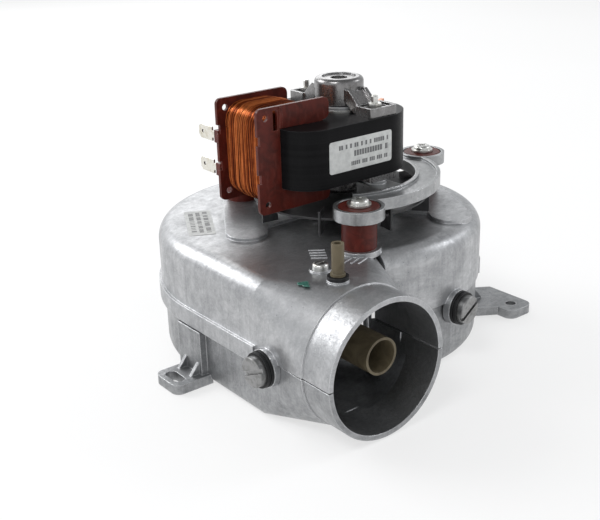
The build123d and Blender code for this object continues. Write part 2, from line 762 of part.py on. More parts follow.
def terminal(z, grow=0.0):
    """Blade terminal on a narrow neck, with a chamfered tip and a hole; grow widens the neck
    into its socket."""
    left = core_back_x - bobbin_proud
    x = left + 2.4
    neck = block(x - 0.4 - grow, x + 0.4 + grow, half_flange + 0.2 - grow, half_flange + 7.0,
                 z - 1.6 - grow, z + 1.6 + grow)
    blade = block(x - 0.4, x + 0.4, half_flange + 6.5, half_flange + 17.0, z - 3.15, z + 3.15)
    tip = blade.edges().filter_by(Axis.X).group_by(Axis.Y)[-1]
    blade = chamfer(tip, 1.4)
    return neck + blade - Pos(x, half_flange + 13.9, z) * Rot(0, 90, 0) * Cylinder(0.85, 4)


def terminals():
    """Two tin-plated blade terminals."""
    return group([terminal(z) for z in terminal_heights()])


def coil_winding():
    """Wound coil between the flanges, bulging in the middle."""
    reach = half_flange - bobbin_sheet - 0.1
    inner_x = core_leg / 2 + bobbin_sheet
    inner_z = core_stack / 2 + bobbin_sheet
    planes = [Plane(origin=(coil_x, y, core_mid), x_dir=(1, 0, 0), z_dir=(0, 1, 0))
              for y in (-reach, 0.0, reach)]
    sections = []
    for plane, depth in zip(planes, (coil_depth - 1.6, coil_depth - 0.6, coil_depth - 1.6)):
        corner = min(depth + 1.5, inner_x)
        outline = RectangleRounded(2 * (inner_x + depth), 2 * (inner_z + depth), corner)
        sections.append((plane * outline).face())
    winding = loft(sections[:2], ruled=True) + loft(sections[1:], ruled=True)
    return winding - block(coil_x - inner_x, coil_x + inner_x, -reach - 1, reach + 1,
                           core_mid - inner_z, core_mid + inner_z)


def bearing_arm(side, core_face, up, rim):
    """Arm of a bearing bracket from its cup to the stud, on the +Y or -Y side; rim is the
    height of the wall round its foot."""
    low, high = sorted((core_face, core_face + up * 3.0))
    inner = stud_offset - 6.2
    outer = stud_offset + 5.0
    level = sorted((core_face, core_face + up * (3.0 + rim)))
    foot = block(-6.5, 9.0, *sorted((side * inner, side * outer)), *level)
    foot = fillet(foot.edges().filter_by(Axis.Z), 1.5)
    tray = sorted((side * (inner + 1.3), side * (outer - 1.3)))
    foot -= block(-5.2, 7.7, *tray, *sorted((core_face + up * 3.0, core_face + up * 5.0)))
    slope = [
        (side * (cap_radius - 2.5), core_face + up * 8.8),
        (side * (cap_radius + 1.0), core_face + up * 8.8),
        (side * (inner + 0.6), core_face + up * 3.0),
        (side * (inner + 0.6), core_face + up * 0.4),
        (side * (inner - 1.6), core_face + up * 0.4),
        (side * (cap_radius - 2.5), core_face + up * 5.4),
    ]
    web = extrude(Plane.YZ.offset(-5.5) * make_face(Polyline(*slope, close=True)), 11.0)
    ridge = [
        (side * (cap_radius - 2.5), core_face + up * 9.8),
        (side * (cap_radius + 1.6), core_face + up * 9.8),
        (side * (inner + 1.2), core_face + up * 4.2),
        (side * (inner + 0.2), core_face + up * 2.0),
        (side * (cap_radius - 2.5), core_face + up * 7.0),
    ]
    for x in (-5.5, 3.7):
        web += extrude(Plane.YZ.offset(x) * make_face(Polyline(*ridge, close=True)), 1.8)
    window = block(5.0, 7.6, *sorted((side * (stud_offset - 1.6), side * (stud_offset + 1.6))),
                   low - 1, high + 1)
    return foot + web - window


def upper_bearing_bracket():
    """Round bearing cap with two arms down to the core."""
    cap = disc(cap_radius, cap_height, cap_z)
    cap = fillet(cap.edges().group_by(Axis.Z)[-1], 2.2)
    arms = bearing_arm(1, core_top, 1, 1.2) + bearing_arm(-1, core_top, 1, 1.2)
    bracket = cap + arms
    bracket -= disc(cap_radius - cap_wall, upper_bearing_z - cap_z + 1, cap_z - 1)
    bracket -= disc(rotor_radius, cap_z - core_top + 1, core_top - 1)
    bracket -= disc(bearing_radius, bearing_height + 1.2, upper_bearing_z - 0.6)
    bracket -= disc(shaft_radius + moving_gap + 0.4, 30.0, cap_z)
    bracket -= disc(cap_radius - 3.4, 2.0, cap_top - 0.7)
    for x, y in stud_places():
        bracket -= disc(stud_radius + fit_gap, 20.0, core_top - 1, x, y)
    return bracket


def lower_bearing_bracket():
    """Bearing cup under the core with two arms out to the studs."""
    cup_top = core_z - cage_ring_height - moving_gap
    cup = disc(cap_radius, cup_top - cup_z, cup_z)
    cup = fillet(cup.edges().group_by(Axis.Z)[0], 1.8)
    bracket = cup + bearing_arm(1, core_z, -1, 0.0) + bearing_arm(-1, core_z, -1, 0.0)
    floor = lower_bearing_z + bearing_height
    bracket -= disc(cap_radius - cap_wall, core_z - floor + 1, floor)
    bracket -= disc(rotor_radius, core_z - cup_top + 1, cup_top)
    bracket -= disc(bearing_radius, bearing_height + 1, lower_bearing_z)
    bracket -= disc(shaft_radius + moving_gap + 0.4, 30.0, cup_z - 1)
    for x, y in stud_places():
        bracket -= disc(stud_radius + fit_gap, 20.0, core_z - 10, x, y)
    return bracket


def bearing(z):
    """Sintered bronze sleeve bearing."""
    bush = ring(bearing_radius, bearing_bore, bearing_height, z)
    return chamfer(bush.edges().filter_by(GeomType.CIRCLE), 0.4)


def bearing_retainer(z):
    """Spring-steel washer that keeps the bearing in its seat."""
    return ring(cap_radius - cap_wall - 0.05, shaft_radius + 2.5, 0.5, z)


def rotor_guard():
    """Pressed ring round the rotor's end on top of the core, cut away where an arm comes in."""
    arms = bearing_arm(1, core_top, 1, 1.2) + bearing_arm(-1, core_top, 1, 1.2)
    return ring(bore_radius + 1.4, bore_radius, 1.1, core_top) - arms


def motor_studs():
    """Two studs through the bearing brackets, the core and the bracket's lugs."""
    high = core_top + 3.0 + nut_height + 3.4
    studs = []
    for x, y in stud_places():
        stud = disc(stud_radius, high - stud_end_z, stud_end_z, x, y)
        studs.append(chamfer(stud.edges().filter_by(GeomType.CIRCLE), 0.4))
    return group(studs)


def motor_nuts():
    """Hexagon nuts above the core and under the bracket's lugs."""
    nuts = []
    for x, y in stud_places():
        for z in (core_top + 3.0, bracket_z - nut_height):
            nut = hexagon(nut_across_corners / 2, nut_height, z, x, y)
            nuts.append(nut - disc(stud_radius, nut_height + 2, z - 1, x, y))
    return group(nuts)


# ---- turning parts ------------------------------------------------------------------------
def shaft():
    """Motor shaft with a domed end."""
    bar = disc(shaft_radius, shaft_top - shaft_bottom, shaft_bottom)
    return chamfer(bar.edges().filter_by(GeomType.CIRCLE), 0.6)


def rotor_core():
    """Rotor laminations pressed on the shaft."""
    return ring(rotor_radius, shaft_radius, core_stack, core_z)


def rotor_cage():
    """Cast aluminium end rings of the squirrel cage."""
    rings = [ring(rotor_radius - 1.0, 7.5, cage_ring_height, core_top),
             ring(rotor_radius - 1.0, 7.5, cage_ring_height, core_z - cage_ring_height)]
    return group(rings)


def thrust_washers():
    """Fibre washers between the rotor and its bearings."""
    low = ring(5.0, shaft_radius, 0.8, lower_bearing_z + bearing_height + 0.3)
    high = ring(5.0, shaft_radius, 0.8, upper_bearing_z - 1.2)
    return group([low, high])


def cooling_fan():
    """Small sheet fan under the bracket that cools the motor."""
    low = pad_z + fan_clearance
    high = bracket_z - fan_clearance
    fan = disc(fan_radius - 1.0, fan_sheet, fan_disc_z)
    for index in range(fan_blade_count):
        blade = block(fan_radius - 8.0, fan_radius, -fan_sheet / 2, fan_sheet / 2, low, high)
        fan += Rot(0, 0, 360 / fan_blade_count * index + 37.0) * blade
    fan += disc(7.0, 5.0, fan_disc_z - 5.0)
    return fan - disc(shaft_radius, 30.0, fan_disc_z - 20.0)


def impeller_hub():
    """Turned hub that carries the backplate."""
    hub = disc(hub_radius, hub_length, hub_z)
    hub += disc(hub_radius + 5.0, 1.6, backplate_z - 1.6)
    return hub - disc(shaft_radius, 40.0, hub_z - 1)


def impeller_backplate():
    """Top disc of the impeller."""
    plate = ring(impeller_radius, hub_radius, sheet, backplate_z)
    for angle in range(0, 360, 90):
        plate -= disc(1.4, 4.0, backplate_z - 1, *polar(hub_radius + 2.8, angle))
    return plate


def impeller_shroud():
    """Bottom ring of the impeller."""
    return ring(impeller_radius, impeller_eye_diameter / 2, sheet, shroud_z)


def impeller_blades():
    """Ring of upright curved blades between the discs."""
    inner = impeller_eye_diameter / 2 + 1.0
    outer = impeller_radius - 0.6
    bow = (outer - inner) * 0.14
    middle = (inner + outer) / 2
    front = ThreePointArc((inner, 0), (middle, bow + blade_sheet), (outer, 0))
    back = ThreePointArc((outer, 0), (middle, bow), (inner, 0))
    low = shroud_z + sheet
    blade = extrude(Pos(0, 0, low) * make_face(Curve() + [front, back]), backplate_z - low)
    turns = [Rot(0, 0, 360 / blade_count * index) for index in range(blade_count)]
    return group([turn * blade for turn in turns])


def impeller_rivets():
    """Rivets through the backplate into the hub's flange."""
    rivets = []
    for angle in range(0, 360, 90):
        place = polar(hub_radius + 2.8, angle)
        shank = disc(1.4, sheet, backplate_z, *place)
        rivets.append(shank + disc(2.2, 0.9, backplate_z + sheet, *place))
    return group(rivets)


def impeller_nut():
    """Nut on the shaft's end under the hub."""
    blank = hexagon(5.8, 4.5, hub_z - 5.5, 0, 0)
    return blank - disc(shaft_radius, 10.0, hub_z - 8.0)


def impeller_washer():
    """Plain washer over the nut."""
    return ring(6.4, shaft_radius, 1.0, hub_z - 1.0)


def shaft_seal():
    """Sealing disc on the roof round the shaft."""
    seal = ring(12.0, shaft_radius + moving_gap, 1.6, pad_z)
    return fillet(seal.edges().group_by(Axis.Z)[-1].sort_by(SortBy.LENGTH)[-1], 0.6)


# ---- labels -------------------------------------------------------------------------------
def motor_label():
    """Plain label on the front of the core."""
    face = -core_width / 2
    return block(-31.0, 4.5, face - label_thickness, face, core_mid - 7.0, core_mid + 7.0)


def casing_label():
    """Plain label on the roof, between the star's left arm and the roof's edge."""
    heading = (pad_angles[1] + post_angles[2]) / 2
    half_turn = (pad_angles[1] - post_angles[2]) / 2
    star_edge = post_circle_radius * math.cos(math.radians(half_turn)) + pad_radius
    out_x, out_y = polar(1.0, heading)
    centre_reach = out_x * arc_3_centre[0] + out_y * arc_3_centre[1]
    flat_edge = centre_reach + arc_3_radius - roof_edge_radius
    room = flat_edge - star_edge
    plate = extrude(Rectangle(1.45 * room, 0.53 * room), label_thickness)
    middle = Pos(-0.23 * room, (star_edge + flat_edge) / 2, roof_z)
    return Rot(0, 0, heading - 90) * middle * Rot(0, 0, 4.75) * plate


def export_all():
    """Write every node to parts/."""
    os.makedirs("parts", exist_ok=True)
    nodes = {
        "upper_housing": upper_housing(),
        "lower_housing": lower_housing(),
        "casing_gasket": casing_gasket(),
        "casing_screws": casing_screws(),
        "screw_seals": screw_seals(),
        "inlet_ring": inlet_ring(),
        "inlet_screws": inlet_screws(),
        "pressure_probe": pressure_probe(),
        "probe_screw": probe_screw(),
        "probe_seal": probe_seal(),
        "shaft_seal": shaft_seal(),
        "grommet_sleeves": grommet_sleeves(),
        "grommet_screws": grommet_screws(),
        "motor_bracket": motor_bracket(),
        "stator_core": stator_core(),
        "shading_rings": shading_rings(),
        "bobbin": bobbin(),
        "coil_winding": coil_winding(),
        "terminals": terminals(),
        "upper_bearing_bracket": upper_bearing_bracket(),
        "lower_bearing_bracket": lower_bearing_bracket(),
        "upper_bearing": bearing(upper_bearing_z),
        "lower_bearing": bearing(lower_bearing_z),
        "upper_bearing_retainer": bearing_retainer(upper_bearing_z - 0.6),
        "lower_bearing_retainer": bearing_retainer(lower_bearing_z + bearing_height),
        "rotor_guard": rotor_guard(),
        "motor_studs": motor_studs(),
        "motor_nuts": motor_nuts(),
        "motor_label": motor_label(),
        "casing_label": casing_label(),
        "shaft": shaft(),
        "rotor_core": rotor_core(),
        "rotor_cage": rotor_cage(),
        "thrust_washers": thrust_washers(),
        "cooling_fan": cooling_fan(),
        "impeller_hub": impeller_hub(),
        "impeller_backplate": impeller_backplate(),
        "impeller_blades": impeller_blades(),
        "impeller_shroud": impeller_shroud(),
        "impeller_rivets": impeller_rivets(),
        "impeller_nut": impeller_nut(),
        "impeller_washer": impeller_washer(),
    }
    for index, place in enumerate(post_places(), start=1):
        nodes[f"grommet_{index}"] = grommet(place)
    for name, shape in nodes.items():
        export_step(shape, f"parts/{name}.step")


export_all()
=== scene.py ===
"""Looks of a boiler flue fan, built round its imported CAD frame.

The castings, fasteners and motor irons come from the frame and get their finishes here.
The wound coil, the impeller vanes, the labels, the terminal leads and the small marks that
hand assembly leaves are built here. All lengths are written in millimetres and multiplied
by MM, and every piece sits in the frame's own axes.
"""

import logging
import math
from dataclasses import dataclass, field
from enum import Enum
from typing import Any, Iterable, Optional, Sequence, Union

import bmesh
import bpy
from mathutils import Matrix, Vector


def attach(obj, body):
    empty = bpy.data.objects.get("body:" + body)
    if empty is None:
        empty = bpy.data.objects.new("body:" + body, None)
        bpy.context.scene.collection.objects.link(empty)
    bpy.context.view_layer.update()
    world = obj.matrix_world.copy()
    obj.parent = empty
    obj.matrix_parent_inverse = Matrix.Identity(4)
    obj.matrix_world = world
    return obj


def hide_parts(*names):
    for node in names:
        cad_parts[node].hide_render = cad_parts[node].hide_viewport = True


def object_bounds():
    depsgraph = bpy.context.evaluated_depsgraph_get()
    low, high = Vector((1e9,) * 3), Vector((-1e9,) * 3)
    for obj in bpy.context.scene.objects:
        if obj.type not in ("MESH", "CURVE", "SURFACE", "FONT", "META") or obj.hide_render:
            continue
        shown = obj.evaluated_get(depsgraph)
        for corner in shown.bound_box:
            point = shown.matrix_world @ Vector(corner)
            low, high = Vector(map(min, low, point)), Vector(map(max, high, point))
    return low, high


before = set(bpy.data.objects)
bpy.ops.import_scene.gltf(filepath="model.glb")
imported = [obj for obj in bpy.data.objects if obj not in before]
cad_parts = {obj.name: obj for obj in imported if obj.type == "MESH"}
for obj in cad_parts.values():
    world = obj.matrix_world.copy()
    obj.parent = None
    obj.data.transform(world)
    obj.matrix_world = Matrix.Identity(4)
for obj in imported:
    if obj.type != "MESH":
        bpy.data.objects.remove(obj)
cad_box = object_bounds()

MM = 0.001
log = logging.getLogger("flue_fan")
Colour = tuple[float, float, float]
Place = tuple[float, float, float]


class Body(Enum):
    """The two bodies of the frame that a piece can ride on."""

    HOUSING = "housing"
    ROTOR = "rotor"


# ---- shader building ------------------------------------------------------------------------
class Wire:
    """An output socket of a shader node that takes part in Python arithmetic."""

    def __init__(self, board: "Board", socket: bpy.types.NodeSocket) -> None:
        """Keep the socket and the board that it belongs to."""
        self.board = board
        self.socket = socket

    def _math(self, operation: str, first: "Term", second: "Term" = 0.0) -> "Wire":
        """Add one Math node.

        Args:
            operation: name of the Math operation.
            first: first operand.
            second: second operand.

        Returns:
            The node's result.
        """
        return self.board.add("ShaderNodeMath", {"operation": operation}, {0: first, 1: second})

    def __add__(self, other: "Term") -> "Wire":
        """Sum."""
        return self._math("ADD", self, other)

    def __radd__(self, other: "Term") -> "Wire":
        """Sum with a number on the left."""
        return self._math("ADD", other, self)

    def __sub__(self, other: "Term") -> "Wire":
        """Difference."""
        return self._math("SUBTRACT", self, other)

    def __rsub__(self, other: "Term") -> "Wire":
        """Difference from a number on the left."""
        return self._math("SUBTRACT", other, self)

    def __mul__(self, other: "Term") -> "Wire":
        """Product."""
        return self._math("MULTIPLY", self, other)

    def __rmul__(self, other: "Term") -> "Wire":
        """Product with a number on the left."""
        return self._math("MULTIPLY", other, self)

    def __truediv__(self, other: "Term") -> "Wire":
        """Quotient."""
        return self._math("DIVIDE", self, other)

    def __rtruediv__(self, other: "Term") -> "Wire":
        """Quotient of a number on the left."""
        return self._math("DIVIDE", other, self)

    def __pow__(self, other: "Term") -> "Wire":
        """Power."""
        return self._math("POWER", self, other)

    def __abs__(self) -> "Wire":
        """Size without sign."""
        return self._math("ABSOLUTE", self)

    def __gt__(self, other: "Term") -> "Wire":
        """One where this is the greater, otherwise nought."""
        return self._math("GREATER_THAN", self, other)

    def __lt__(self, other: "Term") -> "Wire":
        """One where this is the smaller, otherwise nought."""
        return self._math("LESS_THAN", self, other)

    def smallest(self, other: "Term") -> "Wire":
        """The smaller of the two."""
        return self._math("MINIMUM", self, other)

    def largest(self, other: "Term") -> "Wire":
        """The larger of the two."""
        return self._math("MAXIMUM", self, other)

    def floor(self) -> "Wire":
        """Whole number below."""
        return self._math("FLOOR", self)

    def fraction(self) -> "Wire":
        """Part after the point."""
        return self._math("FRACT", self)

    def sine(self) -> "Wire":
        """Sine of this in radians."""
        return self._math("SINE", self)

    def step(self, low: float, high: float) -> "Wire":
        """Smooth rise from nought at low to one at high.

        Args:
            low: where the rise starts.
            high: where it ends; below low for a fall.

        Returns:
            The smooth step.
        """
        return self.board.add(
            "ShaderNodeMapRange",
            {"interpolation_type": "SMOOTHSTEP"},
            {"Value": self, "From Min": low, "From Max": high},
        )


Term = Union[float, Wire, tuple, str]


class Board:
    """The node tree of one material, with its shader and its millimetre coordinates."""

    def __init__(self, name: str) -> None:
        """Make an empty material with one Principled shader."""
        self.material = bpy.data.materials.new(name)
        self.material.use_nodes = True
        self.tree = self.material.node_tree
        self.tree.nodes.clear()
        self.shader = self.tree.nodes.new("ShaderNodeBsdfPrincipled")
        output = self.tree.nodes.new("ShaderNodeOutputMaterial")
        self.tree.links.new(self.shader.outputs["BSDF"], output.inputs["Surface"])
        where = self.tree.nodes.new("ShaderNodeTexCoord")
        self.metres = Wire(self, where.outputs["Object"])
        self.place = self.mapped((1 / MM, 1 / MM, 1 / MM))

    def add(
        self,
        kind: str,
        settings: Optional[dict[str, Any]] = None,
        inputs: Optional[dict[Union[str, int], Term]] = None,
        output: Union[str, int] = 0,
    ) -> Wire:
        """Add any node: its settings first, then the values or links of its sockets.

        Args:
            kind: the node's type.
            settings: attributes of the node; "stops" holds a ramp's (place, colour) pairs.
            inputs: socket name or number to a value or a wire.
            output: which output to return.

        Returns:
            The chosen output.
        """
        node = self.tree.nodes.new(kind)
        for key, value in (settings or {}).items():
            if key == "stops":
                self._fill_ramp(node.color_ramp, value)
            else:
                setattr(node, key, value)
        for key, value in (inputs or {}).items():
            self.plug(node.inputs[key], value)
        return Wire(self, node.outputs[output])

    @staticmethod
    def _fill_ramp(ramp: bpy.types.ColorRamp, stops: Sequence[tuple[float, Colour]]) -> None:
        """Set a colour ramp's stops.

        Args:
            ramp: the ramp of a new node, with its two stops.
            stops: places and colours in order.
        """
        while len(ramp.elements) < len(stops):
            ramp.elements.new(0.5)
        for element, (spot, colour) in zip(ramp.elements, stops):
            element.position = spot
            element.color = (*colour, 1.0)

    def plug(self, socket: bpy.types.NodeSocket, value: Term) -> None:
        """Link a wire to a socket, or set the socket's own value.

        Args:
            socket: the input.
            value: a wire, a number or a tuple.
        """
        if isinstance(value, Wire):
            self.tree.links.new(value.socket, socket)
        elif isinstance(value, tuple) and len(value) == 3 and socket.type == "RGBA":
            socket.default_value = (*value, 1.0)
        else:
            socket.default_value = value

    def set(self, **values: Term) -> None:
        """Give sockets of the shader their values; underscores stand for spaces."""
        for key, value in values.items():
            self.plug(self.shader.inputs[key.replace("_", " ")], value)

    def mapped(
        self, scale: Place, turn: Place = (0.0, 0.0, 0.0), shift: Place = (0.0, 0.0, 0.0)
    ) -> Wire:
        """Object coordinates, scaled, then turned, then shifted.

        Args:
            scale: factor along each axis.
            turn: angles in radians.
            shift: offset after the turn.

        Returns:
            The mapped vector.
        """
        return self.add(
            "ShaderNodeMapping", {},
            {"Vector": self.metres, "Scale": scale, "Rotation": turn, "Location": shift},
        )

    def noise(
        self, scale: float, detail: float = 2.0, rough: float = 0.5,
        stretch: Place = (1.0, 1.0, 1.0), warp: float = 0.0,
    ) -> Wire:
        """Cloudy pattern between nought and one.

        Args:
            scale: patches per millimetre.
            detail: number of octaves.
            rough: share of the fine octaves.
            stretch: how closely it repeats along each axis.
            warp: distortion.

        Returns:
            The pattern's value.
        """
        vector = self.mapped(tuple(s / MM for s in stretch))
        return self.add(
            "ShaderNodeTexNoise", {},
            {"Vector": vector, "Scale": scale, "Detail": detail, "Roughness": rough,
             "Distortion": warp},
        )

    def cells(self, scale: float, feature: str = "F1", output: str = "Distance") -> Wire:
        """Cell pattern.

        Args:
            scale: cells per millimetre.
            feature: what the pattern measures.
            output: which output to return.

        Returns:
            The chosen output.
        """
        return self.add(
            "ShaderNodeTexVoronoi", {"feature": feature},
            {"Vector": self.place, "Scale": scale}, output,
        )

    def axes(self, vector: Optional[Wire] = None) -> tuple[Wire, Wire, Wire]:
        """The three numbers of a vector.

        Args:
            vector: the vector; the place in millimetres if left out.

        Returns:
            Its X, Y and Z.
        """
        parts = self.add("ShaderNodeSeparateXYZ", {}, {0: vector or self.place})
        outputs = parts.socket.node.outputs
        return Wire(self, outputs[0]), Wire(self, outputs[1]), Wire(self, outputs[2])

    def blend(self, share: Term, first: Term, second: Term, way: str = "MIX") -> Wire:
        """Mix of two colours.

        Args:
            share: how much of the second.
            first: colour or wire.
            second: colour or wire.
            way: blend type.

        Returns:
            The mixed colour.
        """
        node = self.tree.nodes.new("ShaderNodeMix")
        node.data_type = "RGBA"
        node.blend_type = way
        sockets = [s for s in node.inputs if s.enabled]
        for socket, value in zip(sockets, (share, first, second)):
            self.plug(socket, value)
        return Wire(self, next(s for s in node.outputs if s.enabled))

    def rounded(self, radius: float) -> Wire:
        """Normal of the surface with its sharp edges rounded off by radius in millimetres."""
        return self.add("ShaderNodeBevel", {"samples": 4}, {"Radius": radius * MM})

    def edges(self, radius: float) -> Wire:
        """How near a surface point is to a sharp edge, from nought to one.

        Args:
            radius: width of the worn strip in millimetres.

        Returns:
            The edge mask.
        """
        true = self.add("ShaderNodeNewGeometry", {}, {}, "Normal")
        soft = self.rounded(radius)
        along = self.add("ShaderNodeVectorMath", {"operation": "DOT_PRODUCT"}, {0: true, 1: soft},
                         "Value")
        return (1.0 - along).step(0.005, 0.12)

    def relief(self, height: Wire, depth: float, strength: float, base: Optional[Wire] = None) -> Wire:
        """Bump.

        Args:
            height: pattern from nought to one.
            depth: real depth of the relief in millimetres.
            strength: how much of it shows.
            base: normal underneath.

        Returns:
            The bumped normal.
        """
        inputs: dict[Union[str, int], Term] = {
            "Height": height, "Distance": depth * MM, "Strength": strength,
        }
        if base is not None:
            inputs["Normal"] = base
        return self.add("ShaderNodeBump", {}, inputs)


# ---- finishes -------------------------------------------------------------------------------
@dataclass(frozen=True)
class Finish:
    """A named surface finish that makes its own material."""

    name: str

    def paint(self, board: Board) -> None:
        """Wire the board's shader."""
        raise NotImplementedError

    def material(self) -> bpy.types.Material:
        """The finish's material, made once."""
        title = self.name + "_finish"
        made = bpy.data.materials.get(title)
        if made is None:
            board = Board(title)
            self.paint(board)
            made = board.material
        return made


@dataclass(frozen=True)
class CastMetal(Finish):
    """Die-cast aluminium with its drawn streaks, mottled skin and bright worn edges; the bright edge
    colour is partly real wear and partly a painted highlight.

    Attributes:
        tone: colour of the clean skin.
        dull: colour of the greyer patches.
        roughness: mean roughness.
        edge: width of the bright edges, partly worn and partly painted highlight, in millimetres.
        grain: depth of the cast skin in millimetres.
        soil: share of the greyer patches.
    """

    tone: Colour = (0.54, 0.545, 0.555)
    dull: Colour = (0.26, 0.265, 0.275)
    roughness: float = 0.32
    edge: float = 0.7
    grain: float = 0.16
    soil: float = 0.8

    def paint(self, board: Board) -> None:
        """Mottle, streak and wear the metal, and paint a highlight along its edges."""
        clouds = board.noise(0.03, 3.0, 0.6, warp=1.2)
        mottle = board.noise(0.22, 6.0, 0.72, warp=0.4)
        streaks = board.noise(0.5, 4.0, 0.7, stretch=(1.0, 1.0, 0.05))
        skin = board.noise(1.1, 4.0, 0.7)
        flow = board.noise(0.09, 4.0, 0.65, stretch=(0.35, 1.0, 1.0), warp=2.2)
        pits = board.cells(0.75).step(0.2, 0.06)
        rare = board.noise(0.22, 1.0).step(0.52, 0.64)
        worn = board.edges(self.edge)
        # painted highlight: the edge mask brightens the colour along sharp edges, partly real wear and
        # partly a painted edge highlight
        wear_and_edge_highlight = worn * (mottle * 1.6 - 0.25).largest(0.15).smallest(1.0)
        dirt = (clouds * 0.34 + mottle * 0.32 + streaks * 0.2 + skin * 0.2).step(0.37, 0.70)
        lines = (abs(flow - 0.5) * 9.0).step(1.0, 0.0)
        colour = board.blend(dirt * self.soil, self.tone, self.dull)
        colour = board.blend(lines * 0.3 * self.soil, colour, self.dull)
        colour = board.blend(pits * rare * 0.7, colour, (0.08, 0.08, 0.085))
        colour = board.blend(wear_and_edge_highlight * 0.8, colour, (0.84, 0.85, 0.865))
        rough = self.roughness + dirt * 0.14 + (streaks - 0.5) * 0.22 + (skin - 0.5) * 0.16
        height = skin * 0.5 + mottle * 0.7 + streaks * 0.3 - pits * rare * 0.8 - lines * 0.15
        board.set(
            Base_Color=colour, Metallic=0.9, Roughness=(rough - wear_and_edge_highlight * 0.12).largest(0.14),
            Normal=board.relief(height, self.grain, 0.7, board.rounded(self.edge * 0.7)),
        )


@dataclass(frozen=True)
class PlatedSteel(Finish):
    """Plated or bare steel with fine turning lines.

    Attributes:
        tone: colour of the plating.
        tint: colour of its stained patches.
        roughness: mean roughness.
        edge: width of the rounded edges in millimetres.
    """

    tone: Colour = (0.66, 0.66, 0.64)
    tint: Colour = (0.42, 0.40, 0.35)
    roughness: float = 0.28
    edge: float = 0.25

    def paint(self, board: Board) -> None:
        """Stain and scratch the plating."""
        patches = board.noise(0.35, 3.0, 0.6)
        fine = board.noise(3.5, 3.0, 0.6)
        lines = board.noise(2.2, 2.0, 0.5, stretch=(0.25, 0.25, 3.0))
        worn = board.edges(self.edge)
        stain = patches.step(0.42, 0.74)
        colour = board.blend(stain * 0.7, self.tone, self.tint)
        colour = board.blend(worn * 0.5, colour, (0.86, 0.86, 0.85))
        board.set(
            Base_Color=colour, Metallic=1.0,
            Roughness=self.roughness + stain * 0.14 + (fine - 0.5) * 0.16,
            Normal=board.relief(fine * 0.5 + lines * 0.5, 0.02, 0.4, board.rounded(self.edge)),
        )


@dataclass(frozen=True)
class LacqueredIron(Finish):
    """Black lacquer over stacked laminations.

    Attributes:
        sheet: thickness of one lamination in millimetres.
    """

    sheet: float = 0.65

    def paint(self, board: Board) -> None:
        """Show the sheets' edges under the lacquer on the upright sides."""
        _, _, height = board.axes()
        layer = (height / self.sheet).fraction()
        groove = (abs(layer - 0.5) * 2.0).step(0.72, 0.98)
        sheet_tone = board.add(
            "ShaderNodeTexWhiteNoise", {"noise_dimensions": "1D"},
            {"W": (height / self.sheet).floor()},
        )
        up = board.add("ShaderNodeNewGeometry", {}, {}, "Normal")
        facing = board.axes(up)[2]
        side = 1.0 - abs(facing).step(0.3, 0.8)
        drips = board.noise(0.18, 3.0, 0.6, stretch=(1.0, 1.0, 0.35))
        dust = board.noise(2.4, 3.0, 0.7).step(0.62, 0.74)
        worn = board.edges(0.35)
        colour = board.blend(drips, (0.0035, 0.0035, 0.004), (0.009, 0.009, 0.0095))
        colour = board.blend(sheet_tone * side * 0.4, colour, (0.013, 0.013, 0.014))
        colour = board.blend(dust * 0.12, colour, (0.04, 0.04, 0.042))
        colour = board.blend(worn * 0.4, colour, (0.10, 0.10, 0.105))
        relief = drips * 0.5 - groove * side * 0.8 + sheet_tone * side * 0.15
        board.set(
            Base_Color=colour, Roughness=0.24 + drips * 0.16 + dust * 0.2,
            Specular_IOR_Level=0.06,
            Normal=board.relief(relief, 0.06, 0.5, board.rounded(0.3)),
        )


@dataclass(frozen=True)
class MouldedPlastic(Finish):
    """Moulded plastic or rubber.

    Attributes:
        tone: main colour.
        shade: colour of its darker flow patches.
        bloom: colour of worn edges and dust; on the cooling fan's sheet it is a painted edge
            highlight.
        roughness: mean roughness.
        sheen: clear gloss on top.
        grain: depth of the moulded grain in millimetres.
        gloss: strength of its reflections.
    """

    tone: Colour = (0.105, 0.024, 0.016)
    shade: Colour = (0.045, 0.010, 0.008)
    bloom: Colour = (0.24, 0.10, 0.08)
    roughness: float = 0.42
    sheen: float = 0.0
    grain: float = 0.05
    gloss: float = 0.3

    def paint(self, board: Board) -> None:
        """Colour the flow of the moulding and dust it."""
        flow = board.noise(0.12, 3.0, 0.55, warp=1.5)
        grain = board.noise(2.0, 3.0, 0.6)
        fine = board.noise(5.0, 2.0, 0.6)
        smear = board.noise(0.5, 3.0, 0.6, stretch=(1.0, 1.0, 0.3)).step(0.5, 0.8)
        worn = board.edges(0.35)
        colour = board.blend(flow.step(0.35, 0.7), self.tone, self.shade)
        colour = board.blend(smear * 0.12 + worn * 0.4, colour, self.bloom)
        board.set(
            Base_Color=colour, Roughness=self.roughness + (grain - 0.5) * 0.2 + smear * 0.1,
            Coat_Weight=self.sheen, Coat_Roughness=0.25, Specular_IOR_Level=self.gloss,
            Normal=board.relief(grain * 0.7 + fine * 0.3, self.grain, 0.4, board.rounded(0.3)),
        )


@dataclass(frozen=True)
class EnamelledCopper(Finish):
    """Magnet wire under amber enamel; every turn has its own tone."""

    def paint(self, board: Board) -> None:
        """Vary the enamel from turn to turn and along the wire."""
        turn = board.add("ShaderNodeAttribute", {"attribute_name": "turn_tone"}, {}, "Fac")
        along = board.noise(0.25, 3.0, 0.6)
        fleck = board.noise(3.0, 2.0, 0.6)
        mix = (turn * 0.7 + along * 0.5).step(0.2, 1.0)
        colour = board.add(
            "ShaderNodeValToRGB",
            {"stops": [(0.0, (0.075, 0.011, 0.002)), (0.4, (0.16, 0.028, 0.004)),
                       (0.75, (0.30, 0.062, 0.010)), (1.0, (0.52, 0.15, 0.04))]},
            {"Fac": mix},
        )
        board.set(
            Base_Color=colour, Metallic=0.7, Roughness=0.30 + (fleck - 0.5) * 0.2,
            Coat_Weight=0.06, Coat_Roughness=0.2, Specular_IOR_Level=0.25,
            Normal=board.relief(fleck, 0.02, 0.25),
        )


